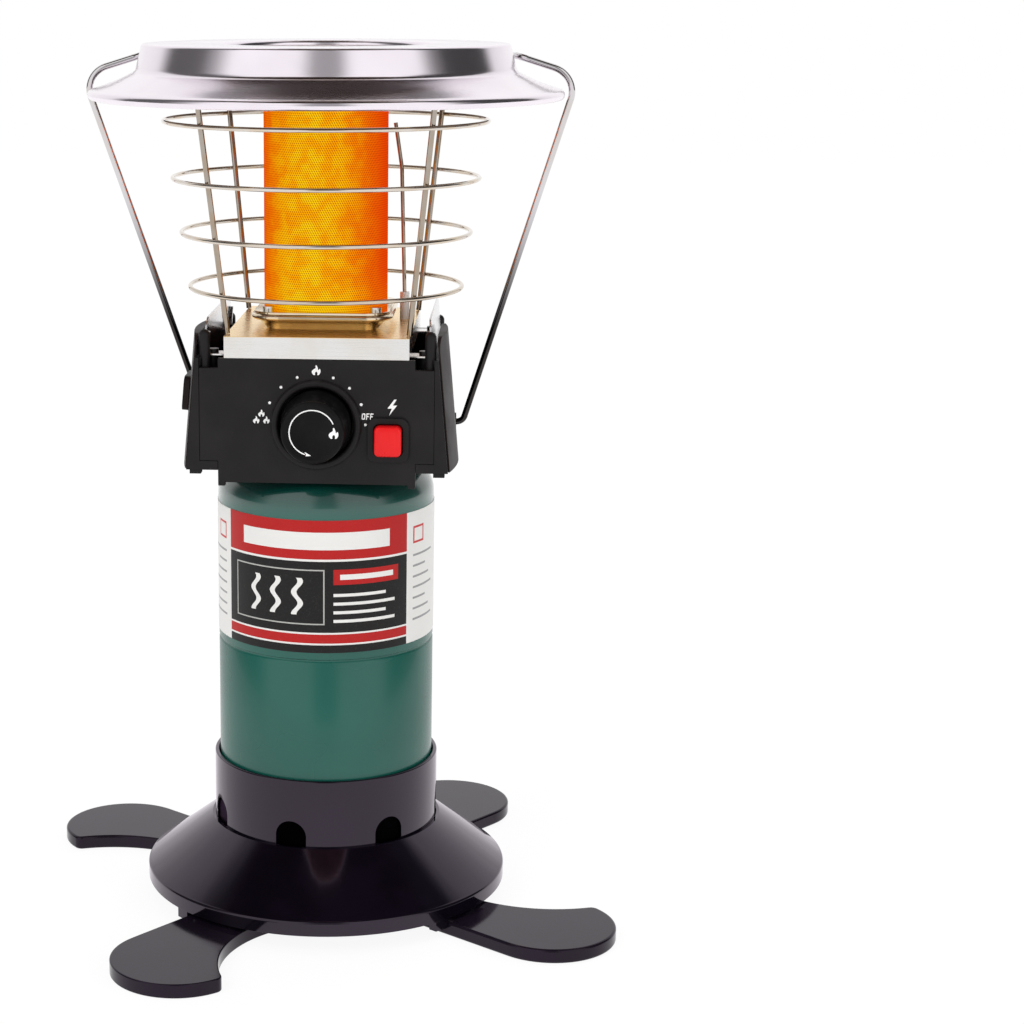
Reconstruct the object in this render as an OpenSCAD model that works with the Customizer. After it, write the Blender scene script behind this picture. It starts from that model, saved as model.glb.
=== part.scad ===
// Portable radiant gas heater: burner head, one-pound gas tank and stand with swing-out legs.
// Millimetres, +Z up, front towards -Y. The origin is on the stand's axis at floor level.

/* [Legs] */
// Thickness of a leg
leg_t = 6.5; // [5:0.5:9]
// Distance from the stand's axis to a leg's pivot
leg_pivot_r = 62; // [60:0.5:63]
// Radius of a leg's pivot end
leg_root_r = 15; // [13:0.5:16]
// Radius of a leg's rounded toe
leg_toe_r = 30.3; // [27:0.1:31]
// Distance from a leg's pivot to the middle of its toe
leg_reach = 58.7; // [54:0.1:61]
// Angle by which the toe is set to the side
leg_sweep = 9; // [6:0.5:11]
// Radius of the hollow side of a leg
leg_hollow_r = 58.5; // [56:0.5:60]
// Turn of the four legs about the stand's axis
leg_turn = -32; // [-44:1:44]
// Radius of the leg pin's shank
leg_pin_r = 3; // [2.5:0.1:4]
// Radius of the leg pin's head
leg_pin_head_r = 5.5; // [5:0.1:7]
// Running clearance of a leg on its pin
leg_pin_gap = 0.05; // [0.02:0.01:0.1]

/* [Stand] */
// Clear height between a leg and the skirt's lip
lip_rise = 1.9; // [1:0.1:4]
// Height of the skirt's upright lip
lip_h = 5.9; // [4:0.1:9]
// Radius of the skirt at its lip
skirt_r = 84.8; // [82:0.1:95]
// Height of the skirt's slope
skirt_rise = 23.7; // [18:0.1:32]
// Wall of the skirt
skirt_wall = 2.4; // [1.8:0.1:3.2]
// Height of the collar above the skirt
collar_rise = 31.7; // [24:0.1:45]
// Wall of the collar
collar_wall = 1.9; // [1.5:0.1:3]
// Depth of the tank's seat below the top of the skirt
seat_drop = 14; // [8:0.5:16]
// Number of arched recesses round the collar
recesses = 7; // [4:1:9]
// Width of a recess
recess_w = 14.5; // [8:0.5:18]
// Height of a recess
recess_h = 12; // [8:0.5:20]
// Depth of a recess in the collar's wall
recess_d = 1.3; // [0.6:0.1:1.4]
// Turn of the recesses about the stand's axis
recess_turn = -103; // [-180:0.1:180]

/* [Tank] */
// Radius of the gas tank
tank_r = 50; // [48:0.1:50.5]
// Clearance between the tank and the collar
tank_gap = 0.6; // [0.3:0.1:1]
// Height of the tank without its neck
tank_h = 189; // [170:1:230]
// Sheet thickness of the tank
tank_wall = 1.1; // [0.8:0.1:2]
// Radius of the tank's shoulder
shoulder_r = 14; // [10:0.5:20]
// Height of the tank's weld seam above its base
seam_h = 102; // [80:1:120]
// Radius of the tank's threaded neck
neck_r = 12.7; // [11:0.1:14]
// Height of the tank's neck
neck_h = 11; // [9:0.5:14]
// Lower edge of the label above the tank's base
label_low = 105.9; // [104:0.1:115]
// Upper edge of the label above the tank's base
label_high = 166.8; // [150:0.1:170]
// Thickness of the label
label_t = 0.2; // [0.15:0.01:0.3]

/* [Housing] */
// Width of the housing at its foot
house_foot_w = 116; // [112:0.5:122]
// Width of the housing at its top
house_top_w = 107; // [105.5:0.5:110]
// Height of the housing's sides
house_h = 50; // [46:0.5:56]
// Depth of the housing from front to back
house_d = 100; // [96:0.5:110]
// Wall of the housing's back and sides
house_wall = 2.4; // [2:0.1:3]
// Thickness of the front panel
panel_t = 2.6; // [2:0.1:3.4]
// Distance of the front panel's edges from the housing's sides at its top
panel_edge = 1.7; // [1.2:0.1:3]
// Width of the panel's apron below the housing
apron_w = 87.4; // [70:0.1:92]
// Height of the apron
apron_h = 5.5; // [3:0.1:6]
// Height of the sill under the front panel's corners
sill_h = 4; // [3:0.1:5]
// Bulge of a side cover in front of the housing's side
cover_bulge = 3.8; // [2.5:0.1:6]
// Thickness of a side cover at its edge
cover_edge = 0.8; // [0.6:0.1:2.5]
// Wall of a side cover
cover_wall = 2; // [1.4:0.1:2.4]
// Height of a side cover
cover_h = 60; // [54:0.5:61]
// Depth of a side cover from front to back
cover_d = 50; // [40:0.5:60]
// Distance of a side cover from the housing's front
cover_front = 3; // [1:0.5:6]
// Rounding of a side cover's upper corners
cover_round = 7; // [4:0.5:16]
// Clearance between moulded pieces
seat_gap = 0.1; // [0.05:0.01:0.2]

/* [Controls] */
// Height of the knob's axis above the housing's foot
knob_rise = 21.1; // [19:0.1:23]
// Outer radius of the knob's bezel
bezel_r = 20; // [19.2:0.1:20.6]
// Radius of the recess in the bezel
recess_r = 16.7; // [16.3:0.1:17.4]
// Radius of the knob's face
knob_r = 14.6; // [12:0.1:15]
// Radius of the knob's skirt
knob_skirt_r = 15.9; // [15.2:0.1:16.1]
// How far the knob stands out from the panel
knob_out = 20; // [14:0.5:24]
// Radius of the valve's stem
stem_r = 3; // [2.5:0.1:3.5]
// Running clearance of the stem and the plunger
run_gap = 0.05; // [0.02:0.01:0.1]
// Distance of the igniter button's middle from the panel's right edge
button_inset = 20.1; // [18:0.1:21]
// Height of the button's middle above the housing's foot
button_rise = 14.8; // [13:0.1:17]
// Width of the button
button_w = 12.5; // [10:0.1:13]
// Height of the button
button_h = 14; // [11:0.1:15]
// Travel of the button
button_travel = 4; // [2.5:0.1:4.5]
// Corner radius of the button
button_round = 2.4; // [1.5:0.1:3]
// Wall of the button's bezel
button_rim = 2.4; // [1.6:0.1:2.6]

/* [Burner] */
// Distance of the tray's flanges from the housing's sides at its top
tray_side = 12.8; // [11:0.1:14]
// Distance of the tray's flanges from the housing's front and back
tray_end = 0.5; // [0.2:0.1:3]
// Height of the tray's folded flange
flange_h = 9.6; // [7:0.1:13]
// Height of the pan's rim above the tray
pan_rise = 5.5; // [4:0.1:8]
// How much narrower the pan is at its foot, on each side
pan_taper = 4.5; // [2:0.1:6]
// Thickness of the sheet metal
sheet_t = 0.8; // [0.6:0.1:1.2]
// Height of a heat shield above the tray's tabs
shield_h = 16; // [12:0.5:20]
// Rounding of a heat shield's upper corners
shield_round = 7; // [3:0.5:9]
// Distance of the rounded square burner pan from the tray's sides
pan_side = 10.2; // [9:0.1:12]
// Corner radius of the pan
pan_round = 12; // [8:0.5:16]
// Radius of the pan's rolled rim
pan_roll_r = 1.3; // [0.9:0.1:1.6]
// Distance of the glowing mesh tube from the pan's sides
mesh_side = 2.5; // [2:0.1:6]
// Height of the mesh tube
mesh_h = 91; // [80:0.5:96]
// Thickness of the mesh
mesh_t = 0.7; // [0.5:0.1:1]
// Space between the mesh tube and the perforated inner tube
tube_space = 8; // [5:0.5:11]

/* [Guard and hood] */
// Heights of the guard rings above the tray
ring_rises = [16.7, 41.1, 65.4, 90.7];
// Radius of the ring wire
ring_wire_r = 1; // [0.8:0.05:1.3]
// Radius of an upright rod
rod_r = 1.25; // [1:0.05:1.6]
// Distance of the rods' axes from the tray's sides
rod_side = 0.5; // [0:0.1:3]
// Distance of the rods' upper ends from the edge of the hood's top
rod_inset = 7.1; // [6:0.1:9]
// Height of the hood's top above the tray
hood_rise = 124.6; // [118:0.1:130]
// Radius of the hole in the hood
hood_hole_r = 46.5; // [44:0.5:54]
// Radius of the edge round the hood's top
hood_round = 1.5; // [1.2:0.1:3]
// Radius of the hood's band at its top
band_top_r = 82.2; // [81:0.1:86]
// Radius of the hood's band at its foot
band_foot_r = 84.8; // [84:0.1:90]
// Height of the band
band_h = 10.6; // [7:0.1:12]
// Radius of the hood's brim
brim_r = 106.2; // [100:0.1:108]
// Drop of the brim below the band
brim_drop = 10.3; // [9:0.1:16]
// Radius of the rolled edge of the brim
hem_r = 2.2; // [1.6:0.1:2.8]
// Thickness of the hood's sheet
hood_t = 1; // [0.7:0.05:1.4]

/* [Bail] */
// Radius of the bail's wire
bail_r = 1.5; // [1.2:0.05:1.8]
// Height of the bail's pivot above the housing's foot
bail_rise = 6.2; // [6:0.1:19]
// Distance of the bail's pivot from the housing's back
bail_end = 7; // [6.5:0.5:10]
// Distance of the bail's lower bend from the housing's side
bail_out = 4.1; // [4.1:0.1:9]
// Bending radius of the bail's shoulders
bail_bend = 11; // [5:0.5:12]
// Clearance between the bail's shoulder and the brim
bail_gap = 1.3; // [1:0.1:4]

/* [Hidden] */

$fn = 96;

// Heights of the stand
lip_z = leg_t + lip_rise;
edge_z = lip_z + lip_h;
skirt_z = edge_z + skirt_rise;
collar_z = skirt_z + collar_rise;
seat_z = skirt_z - seat_drop;
seat_t = 2.5;
drain_r = 12;
collar_in = tank_r + tank_gap;
collar_r = collar_in + collar_wall;
socket_in = collar_r + seat_gap;
boss_r = leg_pin_r + 5;
boss_gap = 0.3;
boss_z = leg_t + boss_gap;
web_t = 3;
stop_w = 7;
stop_d = 4;
stop_gap = 0.3;
pin_top_z = boss_z + 10;
pin_head_t = 2.1;
pin_head_z = 0.5;
pin_recess_gap = 0.4;

// The leg's outline: toe and hollow centres in the leg's own frame, pivot at the origin
toe = leg_reach * [cos(leg_sweep), sin(leg_sweep)];
hollow_side = leg_root_r - 0.5;
hollow = [toe[0] - 42, hollow_side + leg_hollow_r];
toe_round = 4;

// Heights of the tank
foot_round = 16;
tank_top = seat_z + tank_h;
label_z = seat_z + label_low;
tank_foot_r = tank_r - foot_round - 2;

// Heights of the head
house_z = tank_top;
house_top = house_z + house_h;
lean = atan((house_foot_w - house_top_w) / 2 / house_h);
panel_y = -house_d / 2;
panel_top = house_top;
notch_z = house_top - 4.3;
sill_z = house_z + sill_h + seat_gap;
panel_w = house_top_w - 2 * panel_edge;
notch_x = panel_w / 2 - 8.4;
knob_z = house_z + knob_rise;
button_x = panel_w / 2 - button_inset;
button_z = house_z + button_rise;
bezel_lip = 1.8;
bezel_sink = 9.5;
bezel_floor = 1.5;
bezel_out = 2.3;
knob_sink = 7;
knob_round = 1.4;
knob_face_t = 6;
plate_z = house_z + 0.4;
plate_t = 2;
bushing_r = 3;
bushing_lip = 0.6;
bushing_proud = 1;
post_r = 2.5;
post_x = house_top_w / 2 - house_wall - post_r + 1.2;
post_y = house_d / 2 - 5;
lug_x = house_foot_w / 2 - house_wall - 2.4;
lug_y = house_d / 2 - bail_end - bushing_r - seat_gap - 5;

// Raised pad on the left cover: height and depth of its middle, its size and thickness
cover_y = cover_front + cover_d / 2 - house_d / 2;
pad_x = 31;
pad_y = cover_y - 3;
pad_h = 15.5;
pad_d = 20;
pad_t = 2.2;

// The gas train, stacked on the tank's neck
socket_r = 16;
socket_z = tank_top + 0.6;
neck_top = tank_top + neck_h;
socket_top = neck_top + 1.6;
body_w = 27;
body_front = -14;
body_back = 13;
body_top = house_z + 30;
gland_r = 7.5;
gland_h = 5;
spring_cap_r = 7;
spring_cap_h = 7;
stem_bore = 9;
jet_seat_r = 3;
jet_bore = 5;
jet_r = 4;
jet_hex_h = 3;
jet_tip_r = 2.2;
jet_hole_r = 0.8;
jet_h = 8;
tube_r = 9;
tube_t = 1;
tube_lip = 2.5;
tube_lip_t = 1.5;
air_hole_r = 3;

// The burner
tray_w = house_top_w - 2 * tray_side;
tray_d = house_d - 2 * tray_end;
pan_w = tray_w - 2 * pan_side;
mesh_r = pan_w / 2 - mesh_side;
inner_r = mesh_r - tube_space;
tray_z = panel_top + flange_h;
post_top = tray_z + 2.5;
back_post_top = post_top - 5;
tab_d = 9;
tab_x = house_top_w / 2 - house_wall - 4.2;
tab_y = post_y - post_r - 0.4 - tab_d / 2;
tab_z = panel_top;
tray_screw_r = 1.2;
tray_screw_l = 4.5;
tray_screw_head = 2.5;
tray_screw_head_h = 1.7;
pan_z = tray_z + pan_rise;
pan_t = 1;
base_z = pan_z + pan_roll_r + 0.1;
base_t = 1.2;
mesh_z = base_z + base_t;
mesh_top = mesh_z + mesh_h;
base_screw = pan_w / 2 - 6.5;
base_screw_head = 2.6;
base_screw_head_h = 1.6;
base_screw_r = 1.3;
base_screw_l = 4;
base_screw_y = sqrt((mesh_r + base_screw_head + 1.3) ^ 2 - base_screw ^ 2);
electrode_y = 12;
electrode_x = pan_w / 2 + pan_roll_r + 3.4;
cap_h = 2.4;
cap_round = 1.6;
cap_skirt = 0.6;
cap_drop = 3;
cap_t = 0.5;
insulator_r = 2.2;
insulator_top = tray_z + 12.5;
wire_r = 0.9;

// The guard and the hood
rod_half = tray_w / 2 - rod_side;
hood_z = tray_z + hood_rise;
rod_foot_z = tray_z + 0.2;
tab_t = 1.2;
rod_top_z = hood_z - hood_t - tab_t - 0.2;
hood_tab = (band_top_r - rod_inset) / sqrt(2);
rod_lean = (hood_tab - rod_half) / (rod_top_z - tray_z);
function rod_at(z) = rod_half + (z - tray_z) * rod_lean;
function ring_radius(z) = sqrt(2) * rod_at(z) + rod_r + ring_wire_r + 0.05;
rivet_off = 6;
rivet_r = 1.6;
rivet_head_r = 2.8;
rivet_sink = 0.6;
rivet_tail = 0.8;
band_foot_z = hood_z - band_h;
brim_z = band_foot_z - brim_drop;

// The bail
bail_z = house_z + bail_rise;
bail_back = house_d / 2 - bail_end;
bail_foot_x = side_x(bail_z) + bail_out;
shoulder_x = brim_r + bail_gap + bail_r + 0.29 * bail_bend;
shoulder_y = 12;
shoulder_z = brim_z + 0.6 * bail_bend;
cross_z = hood_z - 6;
cross_r = band_foot_r + bail_r + 0.6;
cross_y = 20;
cross_x = sqrt(cross_r * cross_r - cross_y * cross_y);

// ---------- helpers ----------

function arc(c, r, a0, a1, n) = [for (i = [0:n]) let (a = a0 + (a1 - a0) * i / n)
    [c[0] + r * cos(a), c[1] + r * sin(a)]];
function unit(v) = v / norm(v);
function left_of(v) = [-v[1], v[0]];

// Offset of one vertex of an open path, mitred
function beside(p, i, d) = let (
    a = i == 0 ? unit(p[1] - p[0]) : unit(p[i] - p[i - 1]),
    b = i == len(p) - 1 ? a : unit(p[i + 1] - p[i]),
    n = unit(left_of(a) + left_of(b)))
    p[i] + n * d / (n * left_of(a));

// Closed outline of a sheet whose outer face follows the path and whose wall lies to its right
function sheet(p, t) = concat(p, [for (i = [len(p) - 1:-1:0]) beside(p, i, -t)]);

// Where two circles cross, on the left of the line from c1 to c2 when s is 1
function crossing(c1, r1, c2, r2, s) = let (d = norm(c2 - c1), u = (c2 - c1) / d,
    a = (r1 * r1 - r2 * r2 + d * d) / (2 * d), h = sqrt(r1 * r1 - a * a))
    c1 + u * a + left_of(u) * h * s;

module round_rect(w, h, r) {
    square([w - 2 * r, h], center = true);
    square([w, h - 2 * r], center = true);
    for (x = [-1, 1], y = [-1, 1]) translate([x * (w / 2 - r), y * (h / 2 - r)]) circle(r);
}

// A straight rod from a to b
module rod(a, b, r) {
    v = b - a;
    translate(a) rotate([0, acos(v[2] / norm(v)), atan2(v[1], v[0])]) cylinder(r = r, h = norm(v));
}

// A round wire through a list of points, bent at each inner one with the radius listed for it
module wire(points, bends, r) {
    n = len(points);
    dir = [for (i = [0:n - 2]) unit(points[i + 1] - points[i])];
    turn = [for (i = [0:n - 1]) i == 0 || i == n - 1 ? 0 : acos(dir[i - 1] * dir[i])];
    cut = [for (i = [0:n - 1]) i == 0 || i == n - 1 ? 0 : bends[i - 1] * tan(turn[i] / 2)];
    for (i = [0:n - 2]) rod(points[i] + dir[i] * cut[i], points[i + 1] - dir[i] * cut[i + 1], r);
    for (i = [1:n - 2], d = [-dir[i - 1], dir[i]])
        rod(points[i] + d * (cut[i] - 0.2), points[i] + d * (cut[i] + 0.2), r + 0.04);
    for (i = [1:n - 2]) {
        y = dir[i - 1];
        z = unit(cross(y, dir[i]));
        x = cross(y, z);
        translate(points[i] - y * cut[i] - x * bends[i - 1])
            rotate([atan2(y[2], z[2]), -asin(x[2]), atan2(x[1], x[0])])
            rotate_extrude(angle = turn[i]) translate([bends[i - 1], 0]) circle(r, $fn = 32);
    }
}

module four_corners(x, y) {
    for (sx = [-1, 1], sy = [-1, 1]) translate([sx * x, sy * y, 0]) children();
}

// Places a child drawn in the XY plane upright on the front panel's face, +Z of the child out
module on_panel(x, z) {
    translate([x, panel_y, z]) rotate([90, 0, 0]) children();
}

module leg_place(k) {
    rotate(leg_turn + 90 * k) translate([leg_pivot_r, 0, 0]) children();
}

// ---------- stand ----------

module stand_skirt() color([0.10, 0.09, 0.11]) {
    slope = [[socket_in + 1.4, skirt_z], [skirt_r - 1.2, edge_z + 1.2]];
    outside = concat([[socket_in, skirt_z]], slope,
        arc([skirt_r - 1.6, edge_z - 0.4], 1.6, 55, 0, 4), [[skirt_r, lip_z]]);
    difference() {
        union() {
            rotate_extrude() polygon(sheet(outside, skirt_wall));
            rotate_extrude() translate([socket_in, seat_z - seat_t])
                square([2.2, skirt_z - seat_z + seat_t - 1]);
            rotate_extrude() translate([socket_in - 6, seat_z - seat_t - 2.5])
                square([6 + 2.2, 2.5]);
            intersection() {
                for (k = [0:3]) leg_place(k) {
                    translate([0, 0, boss_z]) cylinder(r = boss_r, h = skirt_z);
                    translate([-(leg_pivot_r - socket_in) - 1, -web_t / 2, boss_z + 8])
                        cube([skirt_r - socket_in, web_t, skirt_z]);
                }
                rotate_extrude() polygon([[socket_in, 0], [socket_in, skirt_z - 1],
                    [skirt_r - 2, edge_z], [skirt_r - 2, 0]]);
            }
            for (k = [0:3]) leg_stop(k);
        }
        for (k = [0:3]) leg_place(k) translate([0, 0, boss_z - 1])
            cylinder(r = leg_pin_r, h = pin_top_z - boss_z + 1);
    }
}

// The stop that a leg's outer side meets when it is swung out
module leg_stop(k) {
    tilt = asin((leg_toe_r - leg_root_r) / leg_reach) - leg_sweep;
    intersection() {
        leg_place(k) rotate(-tilt)
            translate([12, -leg_root_r - stop_gap - stop_w, lip_z - 4.6])
            cube([20, stop_w, 4.6 + 1]);
        difference() {
            cylinder(r = skirt_r - 0.4, h = lip_z + 1);
            translate([0, 0, -1]) cylinder(r = skirt_r - 0.4 - stop_d, h = lip_z + 3);
        }
    }
}

module stand_collar() color([0.16, 0.14, 0.17]) difference() {
    rotate_extrude() polygon(concat(
        [[drain_r, seat_z - seat_t], [collar_r, seat_z - seat_t]],
        arc([collar_r - 0.7, collar_z - 0.7], 0.7, 0, 90, 4),
        arc([collar_in + 0.5, collar_z - 0.5], 0.5, 90, 180, 3),
        [[collar_in, seat_z], [drain_r, seat_z]]));
    for (k = [0:recesses - 1]) rotate(recess_turn + 360 * k / recesses)
        translate([collar_r - recess_d, 0, skirt_z]) rotate([90, 0, 90]) linear_extrude(recess_d + 2) {
            translate([-recess_w / 2, 0]) square([recess_w, recess_h - recess_w / 2]);
            translate([0, recess_h - recess_w / 2]) circle(recess_w / 2);
        }
}

module leg_pins() color("silver") for (k = [0:3]) leg_place(k) difference() {
    union() {
        translate([0, 0, pin_head_z]) cylinder(r = leg_pin_head_r, h = pin_head_t);
        translate([0, 0, pin_head_z]) cylinder(r = leg_pin_r, h = pin_top_z - pin_head_z);
    }
    for (a = [0, 90]) rotate(a) translate([-3.2, -0.5, pin_head_z - 1]) cube([6.4, 1, 2]);
}

function angle_of(v) = atan2(v[1], v[0]);

// Outline of a leg with its pivot at the origin and its toe towards +X
module leg_outline() {
    small = crossing(hollow, leg_hollow_r + toe_round, toe, leg_toe_r - toe_round, 1);
    t = asin((leg_toe_r - leg_root_r) / leg_reach);
    polygon(concat(
        arc([0, 0], leg_root_r, leg_sweep + 90 + t, leg_sweep + 270 - t, 24),
        arc(toe, leg_toe_r, leg_sweep - 90 - t, angle_of(small - toe), 48),
        arc(small, toe_round, angle_of(small - toe) + 6, angle_of(hollow - small) - 6, 6),
        arc(hollow, leg_hollow_r, angle_of(small - hollow), -104, 32)));
}

module leg(k) color([0.13, 0.11, 0.14]) leg_place(k) difference() {
    linear_extrude(leg_t) leg_outline();
    translate([0, 0, -1]) cylinder(r = leg_pin_r + leg_pin_gap, h = leg_t + 2);
    translate([0, 0, -1])
        cylinder(r = leg_pin_head_r + pin_recess_gap, h = pin_head_z + pin_head_t + boss_gap + 1);
}

module leg_front_right() leg(0);
module leg_back_right() leg(1);
module leg_back_left() leg(2);
module leg_front_left() leg(3);

// ---------- tank ----------

tank_path = concat(
    [[0, seat_z + 7], [tank_foot_r - 9, seat_z + 5]],
    arc([tank_foot_r, seat_z + 3], 3, 200, 270, 5),
    arc([tank_r - foot_round, seat_z + foot_round], foot_round, -90, 0, 8),
    [[tank_r, seat_z + seam_h - 1], [tank_r - 0.5, seat_z + seam_h - 0.5],
        [tank_r - 0.5, seat_z + seam_h + 0.5], [tank_r, seat_z + seam_h + 1]],
    arc([tank_r - shoulder_r, tank_top - 4 - shoulder_r], shoulder_r, 0, 78, 8),
    [[neck_r + 5, tank_top - 0.8], [neck_r + 2, tank_top], [neck_r - 2.5, tank_top]]);

module tank_body() color([0.10, 0.36, 0.28]) rotate_extrude() difference() {
    polygon(concat(tank_path, [[0, tank_top]]));
    polygon(concat([[0, seat_z + 7 + tank_wall]],
        [for (i = [1:len(tank_path) - 2]) beside(tank_path, i, tank_wall)],
        [[neck_r + 1, tank_top - tank_wall], [0, tank_top - tank_wall]]));
    square([neck_r - 2.5, tank_top]);
    translate([0, tank_top - 3 * tank_wall]) square([neck_r - 2.5, 10]);
}

module tank_label() color([0.75, 0.16, 0.14]) translate([0, 0, label_z]) difference() {
    cylinder(r = tank_r + label_t, h = label_high - label_low);
    translate([0, 0, -1]) cylinder(r = tank_r, h = label_high - label_low + 2);
}

module tank_valve() color([0.72, 0.60, 0.32]) translate([0, 0, tank_top]) difference() {
    union() {
        cylinder(r = neck_r, h = neck_h);
        translate([0, 0, -12]) cylinder(r = neck_r - 2.5, h = 13);
    }
    translate([0, 0, 2]) cylinder(r = 6, h = neck_h);
    translate([0, 0, -13]) cylinder(r = 2, h = 20);
}

// ---------- housing ----------

function side_x(z) = house_foot_w / 2 - (z - house_z) * tan(lean);

// The housing's sloping block between two heights, narrowed on each side
module housing_block(inset, low, high, depth) {
    rotate([90, 0, 0]) linear_extrude(depth, center = true) polygon([
        [-side_x(low) + inset, low], [side_x(low) - inset, low],
        [side_x(high) - inset, high], [-side_x(high) + inset, high]]);
}

module housing_shell() color([0.13, 0.12, 0.12]) difference() {
    union() {
        difference() {
            housing_block(0, house_z, house_top, house_d);
            housing_block(house_wall, house_z - 1, house_top + 1, house_d - 2 * house_wall);
            translate([-panel_w / 2 - seat_gap, panel_y - 1, house_z + sill_h])
                cube([panel_w + 2 * seat_gap, panel_t + seat_gap + 1, house_h]);
            translate([-apron_w / 2 - seat_gap, panel_y - 1, house_z - 1])
                cube([apron_w + 2 * seat_gap, panel_t + seat_gap + 1, house_h]);
        }
        for (sx = [-1, 1], sy = [-1, 1]) translate([sx * post_x, sy * post_y, 0]) {
            cap = (sy < 0 ? post_top : back_post_top) - post_r;
            translate([0, 0, notch_z - 8]) cylinder(r = post_r, h = cap - notch_z + 8);
            translate([0, 0, cap]) sphere(post_r);
        }
        translate([0, 0, plate_z + plate_t]) four_corners(lug_x, lug_y)
            translate([-4, -4, 0]) cube([8, 8, 7]);
        four_corners(side_x(house_z) - 4, house_d / 2 - 3.5)
            translate([-2.5, -2.5, house_z - 2]) cube([5, 5, 2 + plate_z - house_z]);
        for (sx = [-1, 1], sy = [-1, 1]) translate([sx * tab_x, sy * tab_y, tab_z - 6]) {
            cylinder(r = 3, h = 6);
            translate([sx > 0 ? 0 : -4.8, -1.5, 0]) cube([4.8, 3, 6]);
        }
    }
    for (s = [-1, 1]) bushing_hole(s, bushing_r + seat_gap, 30);
    translate([0, 0, tab_z - tray_screw_l - 0.5]) four_corners(tab_x, tab_y) cylinder(r = tray_screw_r, h = 8, $fn = 24);
    translate([0, 0, plate_z]) four_corners(lug_x, lug_y) cylinder(r = 1.2, h = 7, $fn = 24);
}

module bushing_hole(s, r, h) {
    translate([s * (side_x(bail_z) - h / 2 + 5), bail_back, bail_z]) rotate([0, 90, 0])
        translate([0, 0, -h / 2]) cylinder(r = r, h = h);
}

module front_panel() color([0.17, 0.15, 0.15]) translate([0, panel_y + panel_t, 0]) rotate([90, 0, 0])
    linear_extrude(panel_t) difference() {
        union() {
            polygon([[-apron_w / 2, house_z - apron_h], [apron_w / 2, house_z - apron_h],
                [apron_w / 2, sill_z], [panel_w / 2, sill_z], [panel_w / 2, notch_z],
                [notch_x, notch_z], [notch_x, panel_top], [-notch_x, panel_top],
                [-notch_x, notch_z], [-panel_w / 2, notch_z], [-panel_w / 2, sill_z],
                [-apron_w / 2, sill_z]]);
            for (s = [-1, 1]) translate([s * (apron_w / 2 - 1.6) - 1.6, house_z - apron_h - 1.6])
                square([3.2, 2]);
        }
        translate([0, knob_z]) circle(bezel_r - bezel_lip + seat_gap);
        translate([button_x, button_z])
            round_rect(button_w + 2 * button_rim, button_h + 2 * button_rim, button_round + 1);
    }

module bottom_plate() color([0.14, 0.13, 0.13]) difference() {
    translate([0, (panel_t - house_wall) / 2, 0])
        housing_block(house_wall + seat_gap, plate_z, plate_z + plate_t, house_d - panel_t - house_wall - 2 * seat_gap);
    translate([0, 0, plate_z - 1]) cylinder(r = socket_r + 0.3, h = plate_t + 2);
    translate([0, 0, plate_z - 1]) four_corners(lug_x, lug_y) cylinder(r = 1.6, h = plate_t + 2, $fn = 24);
}

// Local frame of a side: +Z leaves the housing's sloping side, +X runs up it, +Y runs back
module on_side(s) {
    mirror([s < 0 ? 1 : 0, 0, 0]) translate([house_foot_w / 2, 0, house_z]) rotate([0, -lean, 0])
        rotate([0, 90, 0]) rotate(180) mirror([0, 1, 0]) children();
}

module side_cover(s) color([0.20, 0.17, 0.17]) {
    half = cover_d / 2;
    bow = cover_bulge - cover_edge;
    bow_r = (half * half + bow * bow) / (2 * bow);
    on_side(s) translate([0, cover_y, 0]) difference() {
        intersection() {
            linear_extrude(20) union() {
                translate([0, -half]) square([cover_h - cover_round, cover_d]);
                translate([0, cover_round - half]) square([cover_h, cover_d - 2 * cover_round]);
                for (y = [-1, 1]) translate([cover_h - cover_round, y * (half - cover_round)])
                    circle(cover_round);
            }
            translate([-5, 0, cover_bulge - bow_r]) rotate([0, 90, 0])
                cylinder(r = bow_r, h = cover_h + 10, $fn = 360);
        }
        translate([2, 0, cover_bulge - bow_r]) rotate([0, 90, 0])
            cylinder(r = bow_r - cover_wall, h = house_h - 4, $fn = 360);
        translate([-5, -cover_d, -5]) cube([cover_h + 10, 2 * cover_d, 5 + seat_gap]);
    }
}
module side_cover_right() side_cover(1);
module side_cover_left() {
    side_cover(-1);
    color([0.20, 0.17, 0.17]) on_side(-1) translate([pad_x, pad_y, cover_bulge - 0.5]) linear_extrude(pad_t + 0.5)
        round_rect(pad_h, pad_d, 3);
}

// ---------- controls ----------

module knob_bezel() color([0.11, 0.10, 0.10]) on_panel(0, knob_z) rotate_extrude() polygon([
    [stem_r + 1.2, -bezel_sink], [bezel_r - bezel_lip, -bezel_sink], [bezel_r - bezel_lip, 0], [bezel_r, 0],
    [bezel_r, bezel_out - 0.9], [bezel_r - 0.9, bezel_out], [recess_r + 0.8, bezel_out],
    [recess_r, bezel_out - 0.7], [recess_r, bezel_floor - bezel_sink], [stem_r + 1.2, bezel_floor - bezel_sink]]);

module knob() color([0.07, 0.06, 0.07]) on_panel(0, knob_z) difference() {
    rotate_extrude() polygon(concat([[0, -knob_sink], [knob_skirt_r, -knob_sink], [knob_skirt_r, 2]],
        [[knob_r + 0.5, 5], [knob_r + 0.2, knob_out - 3]],
        arc([knob_r - knob_round, knob_out - knob_round], knob_round, 0, 90, 5), [[0, knob_out]]));
    translate([0, 0, -knob_sink - 1]) cylinder(r = stem_r, h = knob_sink + 1 + knob_out - knob_face_t);
}

module valve_stem() color("goldenrod") on_panel(0, knob_z)
    translate([0, 0, panel_y - body_front - 8]) cylinder(r = stem_r, h = knob_out - knob_face_t - (panel_y - body_front - 8));

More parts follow.
